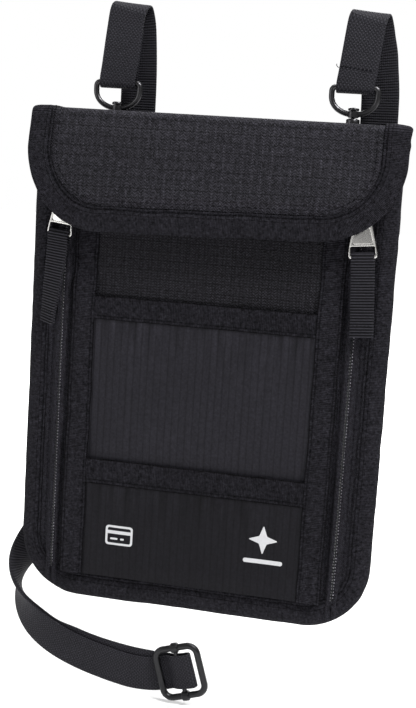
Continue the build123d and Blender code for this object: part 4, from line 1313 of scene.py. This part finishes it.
def twist(obj, turn_at):
    """Turns vertices about an upright line; turn_at(z) gives its x, the angle and a shift
    to the front."""
    for vert in obj.data.vertices:
        axis_x, angle, shift = turn_at(vert.co.z / MM)
        off_x, off_y = vert.co.x / MM - axis_x, vert.co.y / MM - PULL_Y
        cos, sin = math.cos(angle), math.sin(angle)
        vert.co.x = (axis_x + off_x * cos - off_y * sin) * MM
        vert.co.y = (PULL_Y - shift + off_x * sin + off_y * cos) * MM


def ribbon(name, base, sign, across, up, length, sway):
    """Strap of ribbed tape folded round the puller's lowest bar."""
    fold_path = soft_fold([  # (y, z from the bar)
        (-11.10, -length + 0.1), (-11.12, -length + 4.0), (-11.16, -length * 0.5),
        (-11.2, -6.5), (-11.55, -3.2), (-11.92, -1.2), (-11.98, 0.3), (-11.7, 1.15),
        (-10.9, 1.52), (-10.1, 1.35), (-9.55, 0.6), (-9.5, -0.5), (-9.75, -2.0),
        (-10.15, -4.0), (-10.3, -6.5), (-10.3, -length * 0.5), (-10.32, -length + 4.0),
        (-10.34, -length + 0.1)], 0.18, 14)
    across, up, y_axis = np.array(across), np.array(up), np.array([0, 1.0, 0])

    def sway_at(z):
        return sign * (0.02 * (z / length) ** 2 * length * sway)

    centres = (base + y_axis * fold_path[:, :1] + up * fold_path[:, 1:]
               + across * sway_at(fold_path[:, 1])[:, None])
    run = tangents(fold_path)
    out = np.cross(y_axis * run[:, :1] + up * run[:, 1:], across)
    ribs = np.sin(2 * PI * arc_length(centres) / RIB_PITCH)
    widths = 4.6 * (1.0 + 0.02 * noise(0.18 * np.arange(len(ribs)) / 5, 0, 151)) + 0.07 * ribs
    outlines = []
    for width, height in zip(widths, 0.33 + 0.15 * ribs):
        half = [(-width, -height * 0.5), (-width + 0.15, -height),
                (-width * 0.5, -height * 1.02), (0, -height * 1.05),
                (width * 0.5, -height * 1.02), (width - 0.15, -height), (width, -height * 0.5)]
        outlines.append(half + [(a, -b) for a, b in reversed(half)])
    band = sweep("ribbon_band", centres, across, out, outlines, [RIBBON], angle=50)
    stitches = Stitches()
    for z in (-length + 2.2, -length + 4.8):
        points = (base + np.outer(np.linspace(-3.9, 3.9, 12), across) + up * z
                  + np.array([0, -11.50, 0]) + across * sway_at(z))
        stitches.row(points, FRONT, pitch=1.5, length=1.15, radius=0.16, sink=0.0, start=0.1)
    return join(name, [band, stitches.build("ribbon_stitches", THREAD)])


# side, sign, ribbon lean in degrees, ribbon length, sideways sway
for side, sign, lean, length, sway in (("left", -1, 5.0, 37.2, 0.3),
                                       ("right", 1, 4.5, 31.8, -1.0)):
    zip_x = sign * ZIP_X
    place(slider("zipper_slider_%s_metal" % side, zip_x),
          "slider_" + side, "nickel_metal", "zipper_slider_" + side)

    wide, tall = leaning_axes(sign, PULL_LEAN)
    eye_at = (zip_x, PULL_Y, PULL_Z)
    puller = join("pull_tab_%s_metal" % side, [
        plate("puller", PULLER_LOOPS, eye_at, 1.15, 0.28, NICKEL, 3, wide, tall),
        plate("puller_web", [PULLER_WEB], eye_at, 0.62, 0.05, NICKEL, 1, wide, tall),
    ])
    if side == "left":
        twist(puller, lambda z: (
            zip_x, -math.radians(LEFT_TWIST) * float(ease(0.5, -6, z - PULL_Z)), 0))
    place(puller, "puller_" + side, "nickel_metal", "pull_tab_" + side)

    bar_x = zip_x + sign * PULL_DROP * math.sin(PULL_LEAN)
    bar_z = PULL_Z - PULL_DROP * math.cos(PULL_LEAN)
    across, up = leaning_axes(sign, math.radians(lean))
    obj = ribbon("pull_ribbon_%s_tape" % side, np.array([bar_x, 0, bar_z]), sign, across, up,
                 length, sway)
    if side == "left":
        def ribbon_turn(z):
            lower = float(ease(0, -length, z - bar_z))
            return (bar_x + up.x / up.z * (z - bar_z),
                    -math.radians(LEFT_TWIST + 30 * lower), 1.1 * lower)

        twist(obj, ribbon_turn)
    place(obj, "ribbon_" + side, "grosgrain_ribbon", "pull_ribbon_" + side)

# ---------------------------------------------------------------- neck strap: stations
WEB, WEB_T = 15.0, 1.1
RING_Y, WIRE = 3.0, 2.3
RINGS = {"left": (-44.3, 217.6), "right": (52.7, 220.3)}  # (x, z)
RIGHT_LEAN = 0.105
ADJUSTER = (-2.6, 0.2, -30.2)
adjuster_tilt = math.radians(17.0)
adjuster_along = Vector((math.cos(adjuster_tilt), 0, math.sin(adjuster_tilt)))
adjuster_down = Vector((math.sin(adjuster_tilt), 0, -math.cos(adjuster_tilt)))
adjuster_up = tuple(-adjuster_down)
stations = []  # (place, direction, width direction)


def station(at, run, wide):
    run, wide = Vector(run).normalized(), Vector(wide)
    wide = (wide - run * wide.dot(run)).normalized()
    if stations and wide.dot(stations[-1][2]) < 0:
        wide = wide * -1.0
    stations.append((Vector(at), run, wide))


def ring_end(ring_x, ring_z, lean, top):
    """Stations of the end sewn round a ring, then up and over the top behind the pouch."""
    radius = WIRE / 2 + 0.15 + WEB_T / 2
    across = (1, 0, -lean)
    out = []
    for rise in (22.0, 14.0, 8.5):
        out.append(((ring_x + lean * rise, 1.2 + WEB_T + 0.35, ring_z + rise),
                    (-lean, 0, -1), across))
    out.append(((ring_x + lean * 4.0, 3.9, ring_z + 4.0), (-lean, 0.5, -1), across))
    for k in range(5):
        cos, sin = math.cos(math.radians(k * 45)), math.sin(math.radians(k * 45))
        out.append(((ring_x, RING_Y + radius * cos, ring_z - radius * sin),
                    (0, -sin, -cos), (1, 0, 0)))
    for rise in (6.0, 16.0):
        out.append(((ring_x + lean * rise, 1.2, ring_z + rise), (lean, 0, 1), across))
    out.append(((ring_x + lean * (top - ring_z - 4.2), 1.5, top - 4.2), (lean, 0, 1), across))
    top_x = ring_x + lean * (top - ring_z)
    for k in range(1, 6):
        cos, sin = math.cos(math.radians(k * 30)), math.sin(math.radians(k * 30))
        out.append(((top_x + 0.25 * k, 5.1 - 3.6 * cos, top - 4.2 + 3.6 * sin),
                    (0.05, sin, cos), across))
    return out


# down behind the pouch from the right ring: place, heading in degrees below +X
RIGHT_RUN = [
    ((58.3, 8.9, 243.0), 82), ((60.6, 9.0, 232.0), 84), ((62.3, 9.0, 216.0), 88),
    ((62.4, 9.2, 200.0), 93), ((60.6, 9.0, 182.0), 101), ((55.6, 7.6, 164.0), 110),
    ((47.0, 5.7, 145.0), 118), ((35.4, 4.8, 126.0), 124), ((20.6, 4.4, 106.0), 129),
    ((3.5, 4.3, 86.5), 134), ((-15.5, 4.3, 68.5), 139), ((-36.0, 4.4, 51.5), 141),
    ((-53.5, 4.7, 37.5), 140), ((-66.0, 5.3, 26.8), 138),
]
# turn below the lower left corner, to the adjuster: place, direction, width direction
LOWER_TURN = [
    ((-74.6, 4.4, 17.6), (-0.62, 0, -0.78), (-0.75, -0.35, 0.60)),
    ((-78.0, 3.0, 11.6), (-0.38, 0, -0.92), (-0.60, -0.75, 0.25)),
    ((-79.6, 2.2, 4.4), (-0.06, 0, -1.0), (-0.12, -1.0, 0.0)),
    ((-79.0, 1.9, -3.2), (0.24, 0, -0.97), (0.45, -0.88, 0.12)),
    ((-76.3, 1.8, -10.2), (0.46, 0, -0.89), (0.75, -0.55, 0.38)),
    ((-72.0, 1.8, -16.2), (0.66, 0, -0.75), (0.72, -0.28, 0.64)),
    ((-66.0, 1.8, -21.2), (0.80, 0, -0.60), (0.59, -0.12, 0.79)),
    ((-57.5, 1.9, -25.6), (0.91, 0, -0.42), (0.42, -0.05, 0.91)),
    ((-46.5, 2.0, -29.4), (0.96, 0, -0.29), (0.29, -0.02, 0.96)),
    ((-35.0, 2.2, -32.2), (0.98, 0, -0.18), (0.18, 0, 0.98)),
    ((-25.0, 2.4, -33.9), (0.995, 0, -0.05), (0.02, 0, 1)),
    ((-17.0, 2.6, -33.9), (0.99, 0, 0.10), (-0.12, 0, 0.99)),
]
# up behind the pouch to the left ring: place, direction
LEFT_RUN = [
    ((-67.2, 3.3, 27.2), (0.62, 0, 0.78)), ((-59.8, 2.5, 39.0), (0.47, 0, 0.88)),
    ((-54.0, 2.15, 53.0), (0.34, 0, 0.94)), ((-49.2, 2.1, 70.0), (0.24, 0, 0.97)),
    ((-45.4, 2.2, 90.0), (0.16, 0, 0.99)), ((-42.6, 2.6, 112.0), (0.11, 0, 0.99)),
    ((-40.6, 3.6, 133.0), (0.08, 0.05, 0.99)), ((-39.3, 5.4, 152.0), (0.05, 0.09, 0.99)),
    ((-38.4, 7.8, 172.0), (0.04, 0.06, 0.99)), ((-37.6, 8.9, 192.0), (0.03, 0.02, 1)),
    ((-37.2, 9.0, 208.0), (0.0, 0, 1)), ((-37.6, 9.0, 226.0), (-0.05, 0, 1)),
    ((-38.6, 8.9, 240.0), (-0.09, 0, 1)),
]
LAYER_OFFSET = 0.5 * (WEB_T + 0.25)


def doubled(at, run, wide, side):
    """Place of one of two layers lying face to face."""
    run, wide = Vector(run).normalized(), Vector(wide)
    wide = (wide - run * wide.dot(run)).normalized()
    out = wide.cross(run) * -1.0
    return tuple(Vector(at) + out * (side * LAYER_OFFSET))


def adjuster_point(along, y):
    point = Vector(ADJUSTER) + adjuster_along * along
    return point.x, y, point.z


for stop in ring_end(*RINGS["right"], RIGHT_LEAN, 250.0):
    station(*stop)
for at, heading in RIGHT_RUN:
    heading = math.radians(heading)
    station(at, (math.cos(heading), 0, -math.sin(heading)),
            (math.sin(heading), 0, math.cos(heading)))
for at, run, wide in LOWER_TURN:
    station(doubled(at, run, wide, 1), run, wide)
# through the adjuster, round its bar and back
station(adjuster_point(-9.6, 2.15), adjuster_along, adjuster_up)
station(adjuster_point(-5.6, 2.10), adjuster_along, adjuster_up)
station(adjuster_point(-3.2, 0.55), adjuster_along + Vector((0, -0.75, 0)), adjuster_up)
wrap = 1.0 + 0.12 + WEB_T / 2
for k in range(7):
    angle = math.radians(-100 + k * 32)
    cos, sin = math.cos(angle), math.sin(angle)
    station(adjuster_point(wrap * cos + (4.0 if cos > -0.25 else 2.4), ADJUSTER[1] + wrap * sin),
            adjuster_along * -sin + Vector((0, cos, 0)), adjuster_up)
station(adjuster_point(-3.0, 2.95), adjuster_along * -1 + Vector((0, 0.25, 0)), adjuster_up)
for along, rise in ((-6.0, 0.8), (-9.6, 1.3)):
    station(Vector(adjuster_point(along, 3.50)) - adjuster_down * rise, adjuster_along * -1,
            adjuster_up)
for at, run, wide in reversed(LOWER_TURN):
    # the returning layer fans out above the front one near the adjuster
    fan = 2.5 * math.exp(-(((Vector(at) - Vector(ADJUSTER)).length / 42.0) ** 2))
    station(Vector(doubled(at, run, wide, -1)) + Vector(wide).normalized() * fan,
            -Vector(run), wide)
for at, run in LEFT_RUN:
    station(at, run, (run[2], 0, -run[0]))
for at, run, wide in reversed(ring_end(*RINGS["left"], 0.10, 249.7)):
    station(at, -Vector(run), wide)

# ---------------------------------------------------------------- neck strap: smooth path
centres, wides = [], []
for (at0, run0, wide0), (at1, run1, wide1) in zip(stations, stations[1:]):
    gap = (at1 - at0).length
    count = max(2, int(gap / 1.1), int(math.degrees(run0.angle(run1)) / 7))
    for k in range(count):
        s = k / count
        # cubic through both stations, and its slope
        point = (at0 * (2 * s ** 3 - 3 * s ** 2 + 1) + run0 * ((s ** 3 - 2 * s ** 2 + s) * gap)
                 + at1 * (-2 * s ** 3 + 3 * s ** 2) + run1 * ((s ** 3 - s ** 2) * gap))
        slope = (at0 * (6 * s * s - 6 * s) + run0 * ((3 * s * s - 4 * s + 1) * gap)
                 + at1 * (-6 * s * s + 6 * s) + run1 * ((3 * s * s - 2 * s) * gap))
        run = slope.normalized() if slope.length > 1e-6 else run0
        mix = s * s * (3 - 2 * s)
        wide = wide0 * (1 - mix) + wide1 * mix
        centres.append(tuple(point))
        wides.append(tuple((wide - run * wide.dot(run)).normalized()))
centres.append(tuple(stations[-1][0]))
wides.append(tuple(stations[-1][2]))
centres, wides = np.array(centres), np.array(wides)

# the lower left turn is rounded a lot, the tops a little
mask = ((1 - ease(26, 40, centres[:, 2])) * (1 - ease(-34, -24, centres[:, 0])))[:, None]
for _ in range(90):
    centres = centres + (relax(centres) - centres) * mask
    wides = unit(wides + (relax(wides) - wides) * mask)
mask = ease(236, 242, centres[:, 2])[:, None]
for _ in range(7):
    centres = centres + (relax(centres) - centres) * mask * 0.5
    wides = wides + (relax(wides) - wides) * mask
runs = tangents(centres)
wides = unit(wides - runs * (runs * wides).sum(1, keepdims=True))
# the strap returns after its furthest point to the right below the pouch
low = centres[:, 2] < -20
returning = np.arange(len(centres)) > np.argmax(centres[:, 0] * low - 1e3 * ~low)
centres[:, 2] += (returning * window(centres[:, 0], -66, -11, 14) * (centres[:, 2] < 0)) * 1.3

# woven section: rounded selvedges and a very slight crown
half_w, half_t = WEB / 2, WEB_T / 2 - 0.02
section = [(a, half_t + 0.02 * math.cos(a / half_w * PI / 2))
           for a in np.linspace(-half_w + 0.45, half_w - 0.45, 9)]
section += [(half_w - 0.12, half_t * 0.80), (half_w, half_t * 0.30),
            (half_w, -half_t * 0.30), (half_w - 0.12, -half_t * 0.80)]
section += [(-a, -b) for a, b in section]
# one face is fine and the other ribbed; they swap where the strap returns
ribbed = np.tile([0 if j < 9 or j > 24 else 1 for j in range(len(section))], len(centres) - 1)
outward_run = np.repeat(~returning[:-1], len(section))
face_mats = np.append(np.where(outward_run, 1 - ribbed, ribbed), [0, 0])
strap = sweep("strap", centres, wides, np.cross(runs, wides), section, [WEB_FINE, WEB_RIBBED],
              face_mats=face_mats, angle=50)

seam = Stitches()
across = np.linspace(-6.9, 6.9, 16)
ring_x, ring_z = RINGS["right"]
seam.row(xyz(ring_x + RIGHT_LEAN * 7.2 + across, 0.62, ring_z + 7.2 - across * RIGHT_LEAN),
         FRONT, pitch=1.6, length=1.1, radius=0.34, sink=0.05, start=0.1)
# loose thread end at the right seam
thread = [(45.9, 0.5, 227.6), (45.3, 0.2, 227.9), (44.9, 0.1, 228.5), (45.0, 0.2, 229.0)]
thread = resample(thread, range(4), np.linspace(0, 3, 14))
place(join("neck_strap_woven", [strap, seam.build("strap_seam", THREAD),
                                tube("loose_thread", thread, 0.14, THREAD, 8, closed=False)]),
      "pouch", "webbing", "neck_strap")

# ---------------------------------------------------------------- rings, swivel hooks, gates
RING_W, RING_H = 20.6, 12.7
ring_w, ring_h = RING_W - WIRE, RING_H - WIRE  # along the wire's centre
# turned profiles: (radius, height)
RING_EYE = [(1.02, -1.28), (1.9, -1.3), (2.25, -1.0), (2.32, 0), (2.25, 1.0), (1.9, 1.3),
            (1.02, 1.28), (1.02, -1.28)]
HOOK_HEAD = [
    (0.0, 4.05), (1.5, 4.0), (2.05, 3.75), (2.2, 3.4), (2.2, 3.0), (2.0, 2.75), (0.95, 2.72),
    (0.93, -0.2), (1.6, -0.25), (2.45, -0.5), (2.7, -0.9), (2.7, -2.2), (2.3, -2.6),
    (2.3, -3.1), (2.7, -3.4), (2.65, -4.3), (2.0, -4.9), (0, -5.0)]
GATE_KNOB = [(0, 0), (1.0, 0.0), (1.25, 0.3), (1.2, 0.9), (0.8, 1.4), (0, 1.5)]


def ring(name, x, z):
    """D ring with a flat top, and the eye below it."""
    path = rounded([(-ring_w / 2, 0), (ring_w / 2, 0), (ring_w / 2, -3.2), (-ring_w / 2, -3.2)],
                   [1.9, 1.9, 0, 0], 8)[:-2]
    path += [(ring_w / 2 * math.cos(turn), -2.9 - (ring_h - 2.9) * math.sin(turn) ** 0.86)
             for turn in np.linspace(0.0, PI, 40)]
    points = [(x + point.x, RING_Y, z + point.y) for point in densify(path)]
    return join(name, [tube("wire", points, WIRE / 2, GUNMETAL, 20),
                       lathe("eye", RING_EYE, (x, RING_Y, z - ring_h), GUNMETAL)])


def hook(name, x, foot, top, low):
    """Swivel head and the open bow below it."""
    outline = [
        (-3.3, top), (-7.55, top - 3.7), (-7.6, low + 1.5), (-5.6, low - 1.2), (5.6, low - 1.2),
        (7.6, low + 1.5), (7.6, low + 5.0), (5.2, low + 5.0), (5.2, low + 1.9),
        (4.6, low + 1.2), (-4.6, low + 1.2), (-5.2, low + 1.9), (-5.2, top - 4.4),
        (-2.4, top - 2.3), (2.6, top - 2.3), (6.5, top - 3.6), (7.0, top - 0.7), (3.3, top)]
    radii = [1.0, 2.5, 2.5, 2.2, 2.2, 2.0, 0.7, 0.7, 0.9, 0.9, 0.9, 1.0, 1.8, 1.6, 1.2, 0.8,
             0.9, 1.0]
    return join(name, [
        lathe("head", HOOK_HEAD, (x, RING_Y, foot), GUNMETAL),
        plate("bow", [rounded(outline, radii)], (x, RING_Y, 0), 2.35, 0.72, GUNMETAL, 3)])


def gate(name, x, top, low):
    outline = rounded([(4.25, top - 0.85), (6.15, top - 0.85), (6.85, top - 3.2),
                       (7.45, low + 5.25), (5.45, low + 5.25), (4.35, top - 3.2)],
                      [0.6, 0.6, 1.0, 0.3, 0.3, 1.0])
    return join(name, [
        plate("gate", [outline], (x, RING_Y, 0), 0.88, 0.2, GUNMETAL, 2),
        lathe("knob", GATE_KNOB, (x + 6.9, RING_Y, low + 7.6), GUNMETAL, X_AXIS, 20)])


def strap_tab(name, x, low):
    """Webbing looped through the hook, sewn to the back with a crossed box of stitches."""
    path = soft_fold([  # (y, z)
        (0.42, low - 26.8), (0.42, low - 18), (0.44, low - 9.0), (0.45, low - 3.5),
        (0.52, low + 0.6), (0.95, low + 2.1), (2.1, low + 2.75), (3.6, low + 2.82),
        (5.2, low + 2.7), (6.5, low + 1.9), (7.0, low + 0.5), (6.95, low - 1.0),
        (5.5, low - 3.4), (3.2, low - 5.8), (1.5, low - 7.9), (0.98, low - 10.5),
        (0.95, low - 18), (0.95, low - 26.8)], 0.7, 3)
    web = side_sweep("tab", x, path, rect(-4.25, -0.25, 4.25, 0.25, 0.16), WEB_RIBBED, 50)
    stitches = Stitches()
    base, top = low - 25.4, low - 11.5
    box = [(-3.4, base), (3.4, base), (3.4, top), (-3.4, top), (-3.4, base), (3.4, top),
           (-3.4, top), (3.4, base)]
    for start, end in zip(box, box[1:]):
        stitches.row([(x + start[0], 1.25, start[1]), (x + end[0], 1.25, end[1])], (0, 1, 0),
                     pitch=2.1, length=1.6, sink=0.0, start=0.1)
    return join(name, [web, stitches.build("tab_stitches", THREAD)])


for side, (ring_x, ring_z) in RINGS.items():
    foot = ring_z - ring_h - 1.3
    top, low = foot - 4.6, ring_z - 33.4  # top of the bow, middle of its lower bar
    place(ring("d_ring_%s_wire" % side, ring_x, ring_z),
          "ring_" + side, "black_metal", "d_ring_" + side)
    place(hook("swivel_hook_%s_cast" % side, ring_x, foot, top, low),
          "hook_" + side, "black_metal", "swivel_hook_" + side)
    place(gate("hook_gate_%s_cast" % side, ring_x, top, low),
          "gate_" + side, "black_metal", "hook_gate_" + side)
    place(strap_tab("strap_tab_%s_webbing" % side, ring_x, low),
          "pouch", "webbing", "strap_tab_" + side)

# ---------------------------------------------------------------- adjuster
ADJUSTER_L, ADJUSTER_H, ADJUSTER_WIRE = 21.0, 23.2, 2.4
half_l = (ADJUSTER_L - ADJUSTER_WIRE) / 2
rail = (ADJUSTER_H - ADJUSTER_WIRE) / 2 + 0.5
path = rounded([(-half_l, -rail), (half_l, -rail), (half_l, rail), (-half_l, rail)], 4.0, 12)
points = [tuple(Vector(ADJUSTER) + adjuster_along * point.x - adjuster_down * point.y)
          for point in densify(path)]
place(tube("adjuster_frame_wire", points, ADJUSTER_WIRE / 2 + 0.22, ENAMEL, 22),
      "adjuster", "black_metal", "adjuster_frame")

BAR_PROFILE = [(0, -rail + 0.9), (0.98, -rail + 0.9), (0.98, rail - 0.9), (0, rail - 0.9)]
COLLAR_PROFILE = [(1.42, -1.5), (1.85, -1.55), (2.18, -1.2), (2.24, 0), (2.18, 1.2),
                  (1.85, 1.55), (1.42, 1.5), (1.42, -1.5)]
parts = [lathe("bar", BAR_PROFILE, ADJUSTER, ENAMEL, adjuster_down, 20)]
for end in (-1, 1):
    centre = Vector(ADJUSTER) + adjuster_down * (end * rail)
    parts.append(lathe("collar", COLLAR_PROFILE, centre, ENAMEL, adjuster_along, 24))
place(join("adjuster_bar_cast", parts), "pouch", "black_metal", "adjuster_bar")

place(pouch_stitches.build("pouch_stitches", THREAD), "pouch", "binding_tape")

# ---------------------------------------------------------------- CAD parts that stay
for node, mat in (("zipper_stops", BLACK_PLATE), ("gate_pin_left", NICKEL),
                  ("gate_pin_right", NICKEL), ("gate_spring_left", NICKEL),
                  ("gate_spring_right", NICKEL)):
    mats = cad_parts[node].data.materials
    mats.clear()
    mats.append(mat)


# ---------------------------------------------------------------- floor
def floor_paper():
    """White paper that glows to the camera further out, so it melts into the background."""
    mat = Shader("floor_paper")
    mottle = mat.noise(mat.object_coords(), scale=6.0)
    length = mat.node("ShaderNodeVectorMath", operation="LENGTH")
    mat.put(length.inputs[0], mat.node("ShaderNodeNewGeometry").outputs["Position"])
    far = mat.node("ShaderNodeMapRange", interpolation_type="SMOOTHSTEP")
    # distance in metres from 0.16 to 0.55 gives a glow from 0.18 to 1
    for socket, value in zip(far.inputs, (length.outputs["Value"], 0.16, 0.55, 0.18, 1.0)):
        mat.put(socket, value)
    camera_ray = mat.node("ShaderNodeLightPath").outputs["Is Camera Ray"]
    mat.set(Base_Color=mat.tinted((0.93, 0.93, 0.93), mat.linear(mottle, gain=0.02, plus=0.985)),
            Roughness=0.9, Specular_IOR_Level=0.1, Emission_Color=(1, 1, 1, 1),
            Emission_Strength=mat.mul(far.outputs[0], camera_ray))
    return mat.material


bpy.ops.mesh.primitive_circle_add(vertices=96, radius=4.0, fill_type="NGON",
                                  location=(0, 0, -0.0450))
floor = bpy.context.object
floor.name = "floor"
floor.data.materials.append(floor_paper())


# ---------------------------------------------------------------- lights, world, camera (metres)
def area(name, location, size, power):
    """Rectangular light aimed at the middle of the pouch."""
    light = bpy.data.lights.new(name, "AREA")
    light.shape = "RECTANGLE"
    light.size, light.size_y = size
    light.energy = power
    obj = link(bpy.data.objects.new(name, light))
    obj.location = location
    aim = Vector((0, 0, 0.10)) - Vector(location)
    obj.rotation_euler = aim.to_track_quat("-Z", "Y").to_euler()


area("key", location=(0.55, -0.42, 1.02), size=(0.30, 0.30), power=12.5)
area("fill", location=(-0.9, -0.6, 0.35), size=(0.6, 0.9), power=3.0)
area("top", location=(0.0, 0.10, 1.15), size=(1.0, 0.4), power=10.0)
area("back", location=(0.1, 1.1, 0.6), size=(0.9, 0.7), power=10.0)

# the world lights the scene dimly and looks white to the camera
world = bpy.data.worlds.new("studio")
bpy.context.scene.world = world
world.use_nodes = True
nodes, links = world.node_tree.nodes, world.node_tree.links
nodes.clear()
output = nodes.new("ShaderNodeOutputWorld")
mixer = nodes.new("ShaderNodeMixShader")
light_path = nodes.new("ShaderNodeLightPath")
links.new(light_path.outputs["Is Camera Ray"], mixer.inputs[0])
for socket, strength in ((mixer.inputs[1], 0.2), (mixer.inputs[2], 1.0)):
    background = nodes.new("ShaderNodeBackground")
    background.inputs[0].default_value = (1, 1, 1, 1)
    background.inputs[1].default_value = strength
    links.new(background.outputs[0], socket)
links.new(mixer.outputs[0], output.inputs[0])
bpy.context.scene.view_settings.view_transform = "Standard"

CAMERA_AT = (0.10434, -0.50044, 0.19036)
azimuth, elevation, roll = (math.radians(a) for a in (11.684, 9.0, 3.617))
back = Vector((math.sin(azimuth) * math.cos(elevation),
               -math.cos(azimuth) * math.cos(elevation), math.sin(elevation)))
forward = -back
right = forward.cross(Vector((0, 0, 1))).normalized()
up = right.cross(forward)
rolled_right = right * math.cos(roll) + up * math.sin(roll)
rolled_up = right * -math.sin(roll) + up * math.cos(roll)
lens = bpy.data.cameras.new("cam")
camera = link(bpy.data.objects.new("cam", lens))
camera.matrix_world = Matrix((*zip(rolled_right, rolled_up, back, CAMERA_AT), (0, 0, 0, 1)))
lens.lens = 63.559322
lens.sensor_width = 36
lens.sensor_fit = "AUTO"
lens.clip_start, lens.clip_end = 0.01, 30
bpy.context.scene.camera = camera
